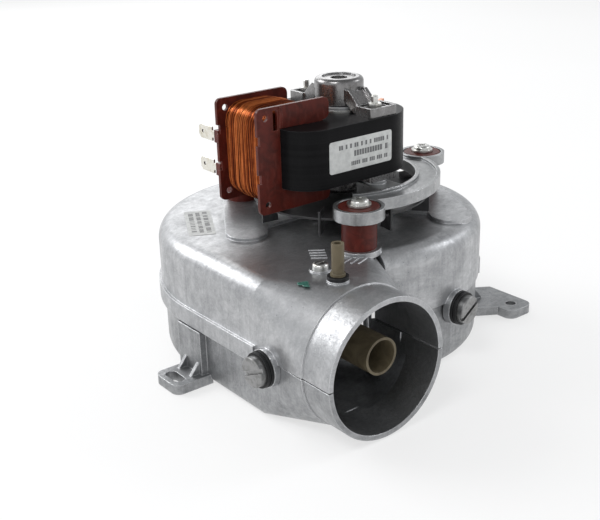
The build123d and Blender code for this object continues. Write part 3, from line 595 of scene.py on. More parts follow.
@dataclass(frozen=True)
class PrintedLabel(Finish):
    """White film label with rows of plain grey dashes in place of its print.

    Attributes:
        centre: middle of the label in millimetres.
        turn: angles that lay the label's long side along X and its height along Y.
        width: long side.
        height: short side.
        rows: (low, high, dash length, share printed, start) of each row, as shares of the label.
    """

    centre: Place = (0.0, 0.0, 0.0)
    turn: Place = (0.0, 0.0, 0.0)
    width: float = 35.0
    height: float = 14.0
    rows: tuple[tuple[float, float, float, float, float], ...] = ()

    def paint(self, board: Board) -> None:
        """Print the rows and smudge the film."""
        shifted = board.add(
            "ShaderNodeVectorMath", {"operation": "SUBTRACT"}, {0: board.place, 1: self.centre}
        )
        flat = board.add(
            "ShaderNodeVectorRotate", {"rotation_type": "EULER_XYZ"},
            {"Vector": shifted, "Rotation": self.turn},
        )
        x, y, _ = board.axes(flat)
        across = x / self.width + 0.5
        up = y / self.height + 0.5
        ink: Term = 0.0
        for number, (low, high, dash, share, start) in enumerate(self.rows):
            column = (across / dash).floor()
            chance = board.add(
                "ShaderNodeTexWhiteNoise", {"noise_dimensions": "1D"},
                {"W": column + 17.0 * number},
            )
            within = (across / dash).fraction()
            mark = (chance < share) * (within > 0.18) * (across > start) * (across < 0.94)
            mark = mark * (up > low) * (up < high)
            ink = mark if number == 0 else ink + mark
        smudge = board.noise(0.3, 3.0, 0.6)
        fibre = board.noise(4.0, 2.0, 0.5)
        paper = board.blend(smudge.step(0.3, 0.8), (0.60, 0.61, 0.60), (0.44, 0.45, 0.445))
        colour = board.blend(ink.smallest(1.0) * 0.85, paper, (0.05, 0.05, 0.055))
        board.set(
            Base_Color=colour, Roughness=0.42 + smudge * 0.14,
            Normal=board.relief(fibre, 0.01, 0.2),
        )


@dataclass(frozen=True)
class PaintDab(Finish):
    """Inspector's dab of green paint."""

    def paint(self, board: Board) -> None:
        """Thin the paint towards its edge."""
        thick = board.noise(1.4, 3.0, 0.6)
        colour = board.blend(thick.step(0.3, 0.7), (0.02, 0.09, 0.07), (0.07, 0.20, 0.16))
        board.set(
            Base_Color=colour, Roughness=0.3 + thick * 0.15, Coat_Weight=0.3,
            Normal=board.relief(thick, 0.08, 0.5),
        )


@dataclass(frozen=True)
class StudioPaper(Finish):
    """Seamless pale paper under the fan."""

    def paint(self, board: Board) -> None:
        """Almost even white."""
        soft = board.noise(0.004, 2.0, 0.5)
        board.set(
            Base_Color=board.blend(soft, (0.36, 0.36, 0.36), (0.38, 0.38, 0.38)), Roughness=0.9,
            Specular_IOR_Level=0.05, Emission_Color=(1.0, 1.0, 1.0), Emission_Strength=0.62,
        )


CAST = CastMetal("cast_aluminium")
# painted shade: the lower casting is a darker copy of the same cast aluminium, standing in for the
# shade low on the housing
SHADED_LOWER_CAST = CastMetal("lower_cast", tone=(0.42, 0.425, 0.435), dull=(0.17, 0.175, 0.18))
BRACKET_CAST = CastMetal("bracket_cast", tone=(0.42, 0.425, 0.43), dull=(0.22, 0.225, 0.23),
                         roughness=0.28, edge=0.6, grain=0.07)
CAP_CAST = CastMetal("bearing_cast", tone=(0.30, 0.295, 0.295), dull=(0.14, 0.135, 0.135),
                     roughness=0.2, edge=0.4, grain=0.04)
GASKET = MouldedPlastic("gasket_grey", tone=(0.14, 0.14, 0.145), shade=(0.09, 0.09, 0.095),
                        bloom=(0.3, 0.3, 0.31), roughness=0.7, sheen=0.0)
ZINC = PlatedSteel("zinc_steel")
DARK_ZINC = PlatedSteel("casing_screw_steel", tone=(0.30, 0.30, 0.30), tint=(0.16, 0.16, 0.155),
                        roughness=0.36)
GALVANISED = PlatedSteel("galvanised_steel", tone=(0.60, 0.61, 0.62), tint=(0.44, 0.45, 0.47),
                         roughness=0.34)
GROUND = PlatedSteel("ground_steel", tone=(0.62, 0.62, 0.62), tint=(0.5, 0.5, 0.49), roughness=0.2)
LAMINATION = PlatedSteel("lamination_steel", tone=(0.24, 0.24, 0.25), tint=(0.14, 0.14, 0.145),
                         roughness=0.4)
CAGE = CastMetal("cage_aluminium", roughness=0.45)
BRONZE = PlatedSteel("sintered_bronze", tone=(0.52, 0.36, 0.20), tint=(0.30, 0.20, 0.11),
                     roughness=0.45)
COPPER = PlatedSteel("copper_bar", tone=(0.62, 0.28, 0.16), tint=(0.32, 0.13, 0.07), roughness=0.3)
TINNED = PlatedSteel("tinned_brass", tone=(0.72, 0.70, 0.64), tint=(0.50, 0.45, 0.33),
                     roughness=0.24)
SEAL = MouldedPlastic("black_seal", tone=(0.012, 0.012, 0.013), shade=(0.007, 0.007, 0.008),
                      bloom=(0.09, 0.09, 0.09), roughness=0.5)
SILICONE = MouldedPlastic("red_silicone", tone=(0.10, 0.014, 0.009), shade=(0.06, 0.009, 0.006),
                          bloom=(0.30, 0.11, 0.09), roughness=0.40, gloss=0.22)
BOBBIN = MouldedPlastic("red_brown_plastic", tone=(0.095, 0.014, 0.009), shade=(0.055, 0.009, 0.006),
                        bloom=(0.34, 0.14, 0.11), roughness=0.34, gloss=0.2)
KHAKI = MouldedPlastic("khaki_plastic", tone=(0.135, 0.110, 0.068), shade=(0.09, 0.072, 0.044),
                       bloom=(0.30, 0.27, 0.20), roughness=0.5)
# painted shade and highlight: the cooling fan gets a near-black colour for the shade under the motor
# bracket, and its pale edge colour paints thin edge highlights
SHADED_FAN_SHEET = MouldedPlastic("dark_sheet", tone=(0.035, 0.035, 0.037), shade=(0.02, 0.02, 0.021),
                            bloom=(0.34, 0.34, 0.35), roughness=0.42, gloss=0.4)
FIBRE = MouldedPlastic("fibre", tone=(0.20, 0.11, 0.06), shade=(0.13, 0.07, 0.04),
                       bloom=(0.34, 0.24, 0.16), roughness=0.7, sheen=0.0)
LACQUER = LacqueredIron("black_core")
ENAMEL = EnamelledCopper("copper_wire")


# ---- mesh building --------------------------------------------------------------------------
def finished(
    name: str, mesh: bmesh.types.BMesh, finish: Finish, smooth: float = 35.0
) -> bpy.types.Object:
    """Turn a bmesh into a shown object at the origin.

    Args:
        name: piece name.
        mesh: the geometry, in metres and in place; it is freed.
        finish: its finish.
        smooth: edges sharper than this many degrees stay sharp.

    Returns:
        The new object.
    """
    data = bpy.data.meshes.new(name)
    mesh.to_mesh(data)
    mesh.free()
    piece = bpy.data.objects.new(name, data)
    bpy.context.scene.collection.objects.link(piece)
    data.materials.append(finish.material())
    data.shade_smooth()
    data.set_sharp_from_angle(angle=math.radians(smooth))
    return piece


def deliver(
    piece: bpy.types.Object, body: Body, replaced: Sequence[str] = ()
) -> bpy.types.Object:
    """Hand a piece to the frame.

    Args:
        piece: object at the origin.
        body: body that carries it.
        replaced: CAD nodes that it stands for.

    Returns:
        The same piece.
    """
    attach(piece, body.value)
    if replaced:
        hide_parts(*replaced)
    log.info("%s: %d faces on %s", piece.name, len(piece.data.polygons), body.value)
    return piece


def tube(
    mesh: bmesh.types.BMesh, path: Sequence[Vector], radius: float, sides: int = 8
) -> None:
    """Add a round wire along a path, closed at both ends.

    Args:
        mesh: where it goes.
        path: points in metres.
        radius: wire radius in metres.
        sides: faces round the wire.
    """
    rings: list[list[bmesh.types.BMVert]] = []
    normal = Vector((0.31, 0.52, 0.79))
    for number, point in enumerate(path):
        before = path[max(number - 1, 0)]
        after = path[min(number + 1, len(path) - 1)]
        along = (after - before).normalized()
        normal = (normal - along * normal.dot(along)).normalized()
        side = along.cross(normal)
        turn = [2 * math.pi * k / sides for k in range(sides)]
        rings.append([
            mesh.verts.new(point + (normal * math.cos(a) + side * math.sin(a)) * radius)
            for a in turn
        ])
    for low, high in zip(rings, rings[1:]):
        for k in range(sides):
            mesh.faces.new((low[k], low[(k + 1) % sides], high[(k + 1) % sides], high[k]))
    mesh.faces.new(rings[0][::-1])
    mesh.faces.new(rings[-1])


def spline(points: Sequence[Place], steps: int = 8) -> list[Vector]:
    """Smooth path through points.

    Args:
        points: places in millimetres.
        steps: pieces between two points.

    Returns:
        Points in metres.
    """
    spots = [Vector(p) * MM for p in points]
    ends = [spots[0] * 2 - spots[1], *spots, spots[-1] * 2 - spots[-2]]
    path: list[Vector] = []
    for a, b, c, d in zip(ends, ends[1:], ends[2:], ends[3:]):
        for step in range(steps):
            t = step / steps
            path.append(0.5 * ((2 * b) + (c - a) * t + (2 * a - 5 * b + 4 * c - d) * t * t
                               + (3 * b - a - 3 * c + d) * t ** 3))
    path.append(spots[-1])
    return path


# ---- geometry nodes -------------------------------------------------------------------------
class Recipe:
    """A Geometry Nodes tree with named inputs that ends in real geometry."""

    def __init__(self, name: str) -> None:
        """Make an empty tree with one geometry output."""
        self.tree = bpy.data.node_groups.new(name, "GeometryNodeTree")
        self.tree.interface.new_socket("Geometry", in_out="OUTPUT",
                                       socket_type="NodeSocketGeometry")
        self.entry = self.tree.nodes.new("NodeGroupInput")
        self.values: dict[str, Any] = {}

    def size(self, name: str, value: Any, kind: str = "NodeSocketFloat") -> bpy.types.NodeSocket:
        """Add a named input.

        Args:
            name: what it is.
            value: what the modifier will be given.
            kind: socket type.

        Returns:
            The socket inside the tree.
        """
        socket = self.tree.interface.new_socket(name, in_out="INPUT", socket_type=kind)
        self.values[socket.identifier] = value
        return next(o for o in self.entry.outputs if o.identifier == socket.identifier)

    def add(
        self, kind: str, settings: Optional[dict[str, Any]] = None,
        inputs: Optional[dict[Union[str, int], Any]] = None, output: Union[str, int] = 0,
    ) -> bpy.types.NodeSocket:
        """Add a node: its settings first, then its sockets.

        Args:
            kind: node type.
            settings: attributes.
            inputs: socket name or number to a value or a socket.
            output: which output to return.

        Returns:
            The chosen output.
        """
        node = self.tree.nodes.new(kind)
        for key, value in (settings or {}).items():
            setattr(node, key, value)
        for key, value in (inputs or {}).items():
            if isinstance(value, bpy.types.NodeSocket):
                self.tree.links.new(value, node.inputs[key])
            else:
                node.inputs[key].default_value = value
        return node.outputs[output]

    def sum(self, operation: str, first: Any, second: Any = 0.0) -> bpy.types.NodeSocket:
        """One Math node.

        Args:
            operation: its operation.
            first: first operand.
            second: second operand.

        Returns:
            Its result.
        """
        return self.add("ShaderNodeMath", {"operation": operation}, {0: first, 1: second})

    def cook(self, name: str, geometry: bpy.types.NodeSocket, finish: Finish) -> bpy.types.Object:
        """Finish the tree, run it once and keep the plain mesh.

        Args:
            name: name of the piece.
            geometry: last socket of the tree, instances included.
            finish: finish of the piece.

        Returns:
            An object without modifiers at the origin.
        """
        real = self.add("GeometryNodeRealizeInstances", {}, {"Geometry": geometry})
        smooth = self.add("GeometryNodeSetShadeSmooth", {}, {"Geometry": real})
        coated = self.add("GeometryNodeSetMaterial", {}, {"Geometry": smooth,
                                                          "Material": finish.material()})
        leave = self.tree.nodes.new("NodeGroupOutput")
        self.tree.links.new(coated, leave.inputs["Geometry"])
        carrier = bpy.data.objects.new(name + "_recipe", bpy.data.meshes.new(name + "_recipe"))
        bpy.context.scene.collection.objects.link(carrier)
        modifier = carrier.modifiers.new("recipe", "NODES")
        modifier.node_group = self.tree
        for identifier, value in self.values.items():
            modifier[identifier] = value
        graph = bpy.context.evaluated_depsgraph_get()
        mesh = bpy.data.meshes.new_from_object(carrier.evaluated_get(graph))
        mesh.name = name
        carrier.modifiers.remove(modifier)
        bpy.data.objects.remove(carrier)
        piece = bpy.data.objects.new(name, mesh)
        bpy.context.scene.collection.objects.link(piece)
        return piece


# ---- sub-assemblies -------------------------------------------------------------------------
@dataclass
class Coil:
    """The wound coil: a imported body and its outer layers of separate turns.

    Attributes:
        centre: middle of the yoke in millimetres.
        reach: half the winding's length along the yoke.
        inner: half sizes of the coil former's sleeve across X and Z.
        packed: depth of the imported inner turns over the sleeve.
        layers: (depth of the wire centre over the sleeve, turns, tilt, seed) of each layer.
        wire: radius of the wire.
        bulge: how much the middle turns stand out, as a share.
    """

    centre: Place = (-38.5, 0.0, 98.6)
    reach: float = 13.3
    inner: tuple[float, float] = (8.5, 14.5)
    packed: float = 5.2
    layers: tuple[tuple[float, int, float, int], ...] = (
        (5.3, 62, 0.006, 3), (5.7, 60, 0.014, 11), (5.95, 40, 0.03, 23),
    )
    wire: float = 0.235
    bulge: float = 0.03

    def _layer(self, depth: float, turns: int, tilt: float, seed: int) -> bpy.types.Object:
        """One layer of turns.

        Args:
            depth: wire centre over the sleeve in millimetres.
            turns: number of turns.
            tilt: largest tilt of a turn in radians.
            seed: seed of its wander.

        Returns:
            The layer as a mesh object.
        """
        recipe = Recipe("wound_layer")
        count = recipe.size("Turns", turns, "NodeSocketInt")
        reach = recipe.size("Reach", self.reach * MM)
        width = recipe.size("Width", 2 * (self.inner[0] + depth) * MM)
        height = recipe.size("Height", 2 * (self.inner[1] + depth) * MM)
        corner = recipe.size("Corner", (2.2 + depth) * MM)
        gauge = recipe.size("Wire Radius", self.wire * MM)
        lean = recipe.size("Tilt", tilt)
        swell = recipe.size("Bulge", self.bulge)
        seed_in = recipe.size("Seed", seed, "NodeSocketInt")
        loop = recipe.add("GeometryNodeCurvePrimitiveQuadrilateral", {"mode": "RECTANGLE"},
                          {"Width": width, "Height": height})
        loop = recipe.add("GeometryNodeFilletCurve", {"mode": "POLY"},
                          {"Curve": loop, "Count": 4, "Radius": corner})
        section = recipe.add("GeometryNodeCurvePrimitiveCircle", {"mode": "RADIUS"},
                             {"Resolution": 5, "Radius": gauge})
        turn = recipe.add("GeometryNodeCurveToMesh", {},
                          {"Curve": loop, "Profile Curve": section})
        low = recipe.add("ShaderNodeCombineXYZ", {}, {"Y": recipe.sum("MULTIPLY", reach, -1.0)})
        high = recipe.add("ShaderNodeCombineXYZ", {}, {"Y": reach})
        line = recipe.add("GeometryNodeMeshLine", {"mode": "END_POINTS"},
                          {"Count": count, "Start Location": low, "Offset": high})
        spot = recipe.add("GeometryNodeInputPosition")
        across = recipe.add("ShaderNodeSeparateXYZ", {}, {0: spot}, 1)
        share = recipe.sum("DIVIDE", across, reach)
        fall = recipe.sum("MULTIPLY", share, share)
        grow = recipe.sum("MULTIPLY", swell, recipe.sum("SUBTRACT", 1.0, fall))
        wander = recipe.add(
            "FunctionNodeRandomValue", {"data_type": "FLOAT"},
            {2: -0.012, 3: 0.012, "Seed": seed_in}, 1,
        )
        grow = recipe.sum("ADD", recipe.sum("ADD", 1.0, grow), wander)
        scale = recipe.add("ShaderNodeCombineXYZ", {}, {0: grow, 1: grow, 2: 1.0})
        side = recipe.add("FunctionNodeRandomValue", {"data_type": "FLOAT"},
                          {2: -1.0, 3: 1.0, "Seed": recipe.sum("ADD", seed_in, 1)}, 1)
        nod = recipe.add("FunctionNodeRandomValue", {"data_type": "FLOAT"},
                         {2: -1.0, 3: 1.0, "Seed": recipe.sum("ADD", seed_in, 2)}, 1)
        turned = recipe.add(
            "ShaderNodeCombineXYZ", {},
            {0: recipe.sum("MULTIPLY_ADD", side, lean), 1: 0.0,
             2: recipe.sum("MULTIPLY", nod, lean)},
        )
        turned.node.inputs[0].links[0].from_node.inputs[2].default_value = math.pi / 2
        turns_placed = recipe.add(
            "GeometryNodeInstanceOnPoints", {},
            {"Points": line, "Instance": turn, "Rotation": turned, "Scale": scale},
        )
        tone = recipe.add("FunctionNodeRandomValue", {"data_type": "FLOAT"},
                          {"Seed": recipe.sum("ADD", seed_in, 5)}, 1)
        toned = recipe.add(
            "GeometryNodeStoreNamedAttribute", {"data_type": "FLOAT", "domain": "INSTANCE"},
            {"Geometry": turns_placed, "Name": "turn_tone"},
        )
        self._link_value(recipe, toned.node, tone)
        return recipe.cook("coil_layer", toned, ENAMEL)

    @staticmethod
    def _link_value(recipe: Recipe, node: bpy.types.Node, value: bpy.types.NodeSocket) -> None:
        """Link the value input that a Store Named Attribute node shows."""
        target = next(s for s in node.inputs if s.name == "Value" and s.enabled)
        recipe.tree.links.new(value, target)

    def _core_body(self) -> bpy.types.Object:
        """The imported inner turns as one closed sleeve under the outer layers."""
        mesh = bmesh.new()
        rings: list[list[bmesh.types.BMVert]] = []
        bare = 0.05
        stations = [(-self.reach, bare), (-self.reach, self.packed - 0.2), (0.0, self.packed + 0.35),
                    (self.reach, self.packed - 0.2), (self.reach, bare)]
        for y, depth in stations:
            half_x, half_z = self.inner[0] + depth, self.inner[1] + depth
            radius = depth + 2.2 if depth > 1.0 else 0.3
            points = []
            for number, (sx, sz) in enumerate(((1, 1), (-1, 1), (-1, -1), (1, -1))):
                for k in range(5):
                    angle = math.pi / 2 * (number + k / 4)
                    points.append((sx * (half_x - radius) + radius * math.cos(angle),
                                   sz * (half_z - radius) + radius * math.sin(angle)))
            rings.append([mesh.verts.new((px * MM, y * MM, pz * MM)) for px, pz in points])
        for low, high in zip(rings, rings[1:] + rings[:1]):
            for k in range(len(low)):
                mesh.faces.new((low[k], high[k], high[(k + 1) % len(low)], low[(k + 1) % len(low)]))
        bmesh.ops.recalc_face_normals(mesh, faces=mesh.faces)
        return finished("coil_core", mesh, ENAMEL)

    def build(self) -> None:
        """Wind the layers, join them and put the coil on its yoke."""
        pieces = [self._core_body()] + [self._layer(*layer) for layer in self.layers]
        mesh = bmesh.new()
        tone = mesh.verts.layers.float.new("turn_tone")
        for piece in pieces:
            mesh.from_mesh(piece.data)
            bpy.data.objects.remove(piece)
        del tone
        bmesh.ops.transform(mesh, matrix=Matrix.Translation(Vector(self.centre) * MM),
                            verts=mesh.verts)
        coil = finished("coil_turns", mesh, ENAMEL, 60.0)
        deliver(coil, Body.HOUSING, ["coil_winding"])
        self._leads()

    def _leads(self) -> None:
        """The two ends of the winding, from the coil's face to the terminals."""
        mesh = bmesh.new()
        routes = [
            [(-51.8, 12.6, 109.6), (-53.4, 14.2, 108.6), (-54.3, 16.2, 107.4), (-54.5, 17.6, 106.2),
             (-54.6, 18.6, 105.6)],
            [(-51.8, 12.6, 86.0), (-53.4, 14.2, 86.4), (-54.3, 16.2, 87.0), (-54.5, 17.6, 87.8),
             (-54.6, 18.6, 88.4)],
        ]
        for route in routes:
            tube(mesh, spline(route), 0.24 * MM)
        leads = finished("coil_leads", mesh, ENAMEL, 60.0)
        deliver(leads, Body.HOUSING)


@dataclass
class Impeller:
    """The impeller's ring of upright vanes.

    Attributes:
        inner: radius of the inner edge.
        outer: radius of the outer edge.
        low: bottom of the vanes.
        high: top of the vanes.
        sheet: thickness of a vane.
        bow: height of its curve.
        vanes: how many.
    """

    inner: float = 43.0
    outer: float = 53.4
    low: float = 13.0
    high: float = 51.2
    sheet: float = 0.7
    bow: float = 1.6
    vanes: int = 40

    def build(self) -> None:
        """Sweep one vane and repeat it round the shaft."""
        recipe = Recipe("vane_ring")
        count = recipe.size("Vanes", self.vanes, "NodeSocketInt")
        inner = recipe.size("Inner Radius", self.inner * MM)
        outer = recipe.size("Outer Radius", self.outer * MM)
        bow = recipe.size("Bow", self.bow * MM)
        sheet = recipe.size("Sheet", self.sheet * MM)
        rise = recipe.size("Height", (self.high - self.low) * MM)
        level = recipe.size("Mid Height", (self.high + self.low) / 2 * MM)
        middle = recipe.sum("MULTIPLY", recipe.sum("ADD", inner, outer), 0.5)
        start = recipe.add("ShaderNodeCombineXYZ", {}, {"X": inner})
        mid = recipe.add("ShaderNodeCombineXYZ", {}, {"X": middle, "Y": bow})
        end = recipe.add("ShaderNodeCombineXYZ", {}, {"X": outer})
        arc = recipe.add("GeometryNodeCurveArc", {"mode": "POINTS"},
                         {"Resolution": 8, "Start": start, "Middle": mid, "End": end})
        upright = recipe.add("GeometryNodeSetCurveNormal", {"mode": "Z_UP"}, {"Curve": arc})
        section = recipe.add("GeometryNodeCurvePrimitiveQuadrilateral", {"mode": "RECTANGLE"},
                             {"Width": sheet, "Height": rise})
        vane = recipe.add("GeometryNodeCurveToMesh", {},
                          {"Curve": upright, "Profile Curve": section, "Fill Caps": True})
        spots = recipe.add("GeometryNodeMeshLine", {"mode": "OFFSET"},
                           {"Count": count,
                            "Start Location": recipe.add("ShaderNodeCombineXYZ", {}, {"Z": level}),
                            "Offset": (0.0, 0.0, 0.0)})
        index = recipe.add("GeometryNodeInputIndex")
        angle = recipe.sum("DIVIDE", recipe.sum("MULTIPLY", index, 2 * math.pi), count)
        turned = recipe.add("ShaderNodeCombineXYZ", {}, {"Z": angle})
        ring = recipe.add("GeometryNodeInstanceOnPoints", {},
                          {"Points": spots, "Instance": vane, "Rotation": turned})
        vanes = recipe.cook("impeller_vanes", ring, GALVANISED)
        vanes.data.set_sharp_from_angle(angle=math.radians(35))
        deliver(vanes, Body.ROTOR, ["impeller_blades"])


@dataclass
class FilmLabel:
    """A thin label with rounded corners.

    Attributes:
        name: piece name.
        node: CAD node it stands for.
        finish: its printed finish, which holds its place and size.
        lay: angles that lay the flat label on its surface.
        thickness: film thickness.
        corner: corner radius.
    """

    name: str
    node: str
    finish: PrintedLabel
    lay: Place
    thickness: float = 0.14
    corner: float = 1.2

    def build(self) -> None:
        """Cut the film and lay it on its surface."""
        mesh = bmesh.new()
        half_w, half_h = self.finish.width / 2, self.finish.height / 2
        corners = []
        for number, (sx, sy) in enumerate(((1, 1), (-1, 1), (-1, -1), (1, -1))):
            for k in range(5):
                angle = math.pi / 2 * (number + k / 4)
                corners.append((sx * (half_w - self.corner) + self.corner * math.cos(angle),
                                sy * (half_h - self.corner) + self.corner * math.sin(angle)))
        face = mesh.faces.new([mesh.verts.new((x * MM, y * MM, 0.0)) for x, y in corners])
        raised = bmesh.ops.extrude_face_region(mesh, geom=[face])
        tops = [v for v in raised["geom"] if isinstance(v, bmesh.types.BMVert)]
        bmesh.ops.translate(mesh, verts=tops, vec=(0.0, 0.0, self.thickness * MM))
        bmesh.ops.recalc_face_normals(mesh, faces=mesh.faces)
        turn = Matrix.Rotation(self.lay[2], 4, "Z") @ Matrix.Rotation(self.lay[0], 4, "X")
        place = Matrix.Translation(Vector(self.finish.centre) * MM) @ turn
        bmesh.ops.transform(mesh, matrix=place, verts=mesh.verts)
        label = finished(self.name, mesh, self.finish)
        deliver(label, Body.HOUSING, [self.node])


@dataclass
class Marks:
    """Small marks that assembly leaves on the casing."""

    dab: Place = (-68.0, -58.0, 61.0)

    def build(self) -> None:
        """Drop the inspector's dab of paint on the roof."""
        mesh = bmesh.new()
        rim = []
        for k in range(28):
            angle = 2 * math.pi * k / 28
            radius = 2.2 + 0.5 * math.sin(3 * angle + 0.6) + 0.3 * math.sin(7 * angle)
            rim.append((radius * math.cos(angle), 1.3 * radius * math.sin(angle)))
        levels = [(1.0, -0.05), (0.93, 0.10), (0.72, 0.17), (0.4, 0.21)]
        rings = []
        for share, rise in levels:
            rings.append([mesh.verts.new(((self.dab[0] + x * share) * MM,
                                          (self.dab[1] + y * share) * MM,
                                          (self.dab[2] + rise) * MM)) for x, y in rim])
        for low, high in zip(rings, rings[1:]):
            for k in range(len(rim)):
                n = (k + 1) % len(rim)
                mesh.faces.new((low[k], low[n], high[n], high[k]))
        mesh.faces.new(rings[-1])
        mesh.faces.new(rings[0][::-1])
        dab = finished("paint_dab", mesh, PaintDab("green_paint"), 60.0)
        deliver(dab, Body.HOUSING)


@dataclass
class Irons:
    """The frame's own nodes, shown as they are with their finishes."""

    finishes: dict[str, tuple[Finish, str]] = field(default_factory=lambda: {
        "upper_housing": (CAST, "cast_aluminium"),
        "lower_housing": (SHADED_LOWER_CAST, "cast_aluminium"),
        "casing_gasket": (GASKET, "gasket_grey"),
        "casing_screws": (DARK_ZINC, "zinc_steel"),
        "screw_seals": (SEAL, "black_seal"),
        "inlet_ring": (GALVANISED, "galvanised_steel"),
        "inlet_screws": (ZINC, "zinc_steel"),
        "pressure_probe": (KHAKI, "khaki_plastic"),
        "probe_screw": (ZINC, "zinc_steel"),
        "probe_seal": (SEAL, "black_seal"),
        "shaft_seal": (SEAL, "black_seal"),
        "grommet_1": (SILICONE, "red_silicone"),
        "grommet_2": (SILICONE, "red_silicone"),
        "grommet_3": (SILICONE, "red_silicone"),
        "grommet_sleeves": (ZINC, "zinc_steel"),
        "grommet_screws": (ZINC, "zinc_steel"),
        "motor_bracket": (BRACKET_CAST, "cast_aluminium"),
        "stator_core": (LACQUER, "black_core"),
        "shading_rings": (COPPER, "copper_bar"),
        "bobbin": (BOBBIN, "red_brown_plastic"),
        "terminals": (TINNED, "tinned_brass"),
        "upper_bearing_bracket": (CAP_CAST, "bearing_cast"),
        "lower_bearing_bracket": (CAP_CAST, "bearing_cast"),
        "upper_bearing": (BRONZE, "sintered_bronze"),
        "lower_bearing": (BRONZE, "sintered_bronze"),
        "upper_bearing_retainer": (ZINC, "zinc_steel"),
        "lower_bearing_retainer": (ZINC, "zinc_steel"),
        "rotor_guard": (ZINC, "zinc_steel"),
        "motor_studs": (ZINC, "zinc_steel"),
        "motor_nuts": (ZINC, "zinc_steel"),
        "shaft": (GROUND, "ground_steel"),
        "rotor_core": (LAMINATION, "lamination_steel"),
        "rotor_cage": (CAGE, "cage_aluminium"),
        "thrust_washers": (FIBRE, "fibre"),
        "cooling_fan": (SHADED_FAN_SHEET, "galvanised_steel"),
        "impeller_hub": (GROUND, "ground_steel"),
        "impeller_backplate": (GALVANISED, "galvanised_steel"),
        "impeller_shroud": (GALVANISED, "galvanised_steel"),
        "impeller_rivets": (ZINC, "zinc_steel"),
        "impeller_nut": (ZINC, "zinc_steel"),
        "impeller_washer": (ZINC, "zinc_steel"),
    })

    def build(self) -> None:
        """Give every carried-over node its finish."""
        for name, (finish, slot) in self.finishes.items():
            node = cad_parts[name]
            node.data.materials.clear()
            node.data.materials.append(finish.material())
            log.info("%s: %s", name, finish.name)


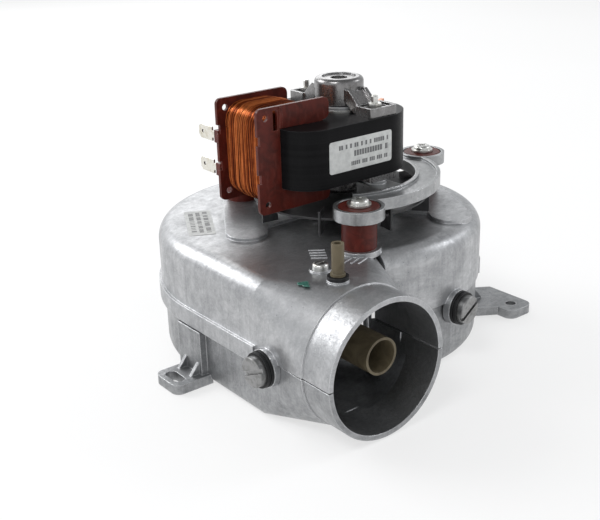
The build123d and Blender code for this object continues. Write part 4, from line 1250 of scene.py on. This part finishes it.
@dataclass
class Studio:
    """Paper, lights and camera.

    Attributes:
        azimuth: camera angle round the fan in degrees.
        elevation: camera angle above the horizon.
        roll: camera roll.
        spot: camera place in millimetres.
        lens: focal length.
    """

    azimuth: float = -37.49
    elevation: float = 21.53
    roll: float = -1.68
    spot: Place = (-289.9, -345.1, 214.3)
    lens: float = 60.0

    def build(self) -> None:
        """Set up the paper, the lights, the world and the camera."""
        self._paper()
        self._lights()
        self._world()
        self._camera()

    def _paper(self) -> None:
        """Lay one large sheet under the fan."""
        mesh = bmesh.new()
        floor_z = cad_box[0].z - 0.0003
        bmesh.ops.create_grid(mesh, x_segments=8, y_segments=8, size=6.0,
                              matrix=Matrix.Translation((0.0, 0.0, floor_z)))
        finished("studio_paper", mesh, StudioPaper("studio_paper"))

    def _lights(self) -> None:
        """Hang the soft boxes."""
        boxes = [
            ("key", (-0.75, -0.30, 1.05), 0.45, 4.0, (1.0, 1.0, 1.0)),
            ("rear_left", (-0.60, 1.00, 0.85), 0.9, 10.0, (1.0, 1.0, 1.0)),
            ("rear", (0.55, 1.15, 0.62), 0.9, 3.0, (1.0, 1.0, 1.0)),
            ("fill", (0.95, -0.45, 0.75), 0.4, 2.2, (0.97, 0.98, 1.0)),
        ]
        for name, spot, size, watts, colour in boxes:
            data = bpy.data.lights.new(name, "AREA")
            data.shape = "RECTANGLE"
            data.size, data.size_y = size, size * 0.8
            data.energy = watts
            data.color = colour
            lamp = bpy.data.objects.new(name, data)
            lamp.location = spot
            aim = Vector((0.0, 0.0, 0.05)) - Vector(spot)
            lamp.rotation_mode = "QUATERNION"
            lamp.rotation_quaternion = aim.to_track_quat("-Z", "Y")
            bpy.context.scene.collection.objects.link(lamp)

    def _world(self) -> None:
        """Pale surround, bright round the horizon and dim overhead."""
        world = bpy.data.worlds.new("surround")
        world.use_nodes = True
        tree = world.node_tree
        where = tree.nodes.new("ShaderNodeTexCoord")
        parts = tree.nodes.new("ShaderNodeSeparateXYZ")
        fall = tree.nodes.new("ShaderNodeMapRange")
        fall.inputs["From Min"].default_value = 0.35
        fall.inputs["From Max"].default_value = 0.85
        fall.inputs["To Min"].default_value = 0.85
        fall.inputs["To Max"].default_value = 0.3
        background = tree.nodes["Background"]
        background.inputs["Color"].default_value = (0.97, 0.985, 1.0, 1.0)
        tree.links.new(where.outputs["Generated"], parts.inputs[0])
        tree.links.new(parts.outputs["Z"], fall.inputs["Value"])
        tree.links.new(fall.outputs[0], background.inputs["Strength"])
        bpy.context.scene.world = world
        bpy.context.scene.view_settings.view_transform = "Standard"

    def _camera(self) -> None:
        """Place the camera."""
        azimuth, elevation = math.radians(self.azimuth), math.radians(self.elevation)
        roll = math.radians(self.roll)
        back = Vector((math.sin(azimuth) * math.cos(elevation),
                       -math.cos(azimuth) * math.cos(elevation), math.sin(elevation)))
        right = Vector((math.cos(azimuth), math.sin(azimuth), 0.0))
        up = back.cross(right)
        across = right * math.cos(roll) + up * math.sin(roll)
        rise = up * math.cos(roll) - right * math.sin(roll)
        turn = Matrix((across, rise, back)).transposed().to_4x4()
        data = bpy.data.cameras.new("camera")
        data.lens = self.lens
        data.sensor_width = 36.0
        camera = bpy.data.objects.new("camera", data)
        camera.matrix_world = Matrix.Translation(Vector(self.spot) * MM) @ turn
        data.clip_start, data.clip_end = 0.01, 20.0
        bpy.context.scene.collection.objects.link(camera)
        bpy.context.scene.camera = camera


MOTOR_PRINT = PrintedLabel(
    "motor_label_print", centre=(-13.25, -30.0, 98.6), turn=(-math.pi / 2, 0.0, 0.0),
    width=35.5, height=14.0,
    rows=((0.70, 0.84, 0.035, 0.62, 0.10), (0.42, 0.60, 0.042, 0.7, 0.34),
          (0.14, 0.27, 0.03, 0.6, 0.34)),
)
CASING_PRINT = PrintedLabel(
    "casing_label_print", centre=(-59.14, 31.61, 61.0), turn=(0.0, 0.0, -math.radians(62)),
    width=34.1, height=12.46,
    rows=((0.68, 0.86, 0.03, 0.6, 0.08), (0.42, 0.58, 0.028, 0.6, 0.08),
          (0.14, 0.32, 0.034, 0.55, 0.08)),
)


def main() -> None:
    """Build the fan in order and report each piece."""
    logging.basicConfig(level=logging.INFO, format="%(name)s: %(message)s")
    assemblies: Iterable[Any] = (
        Irons(),
        Impeller(),
        Coil(),
        FilmLabel("rating_label", "motor_label", MOTOR_PRINT, (math.pi / 2, 0.0, 0.0)),
        FilmLabel("roof_label", "casing_label", CASING_PRINT, (0.0, 0.0, math.radians(62))),
        Marks(),
        Studio(),
    )
    for assembly in assemblies:
        log.info("building %s", type(assembly).__name__)
        assembly.build()


if __name__ == "__main__":
    main()
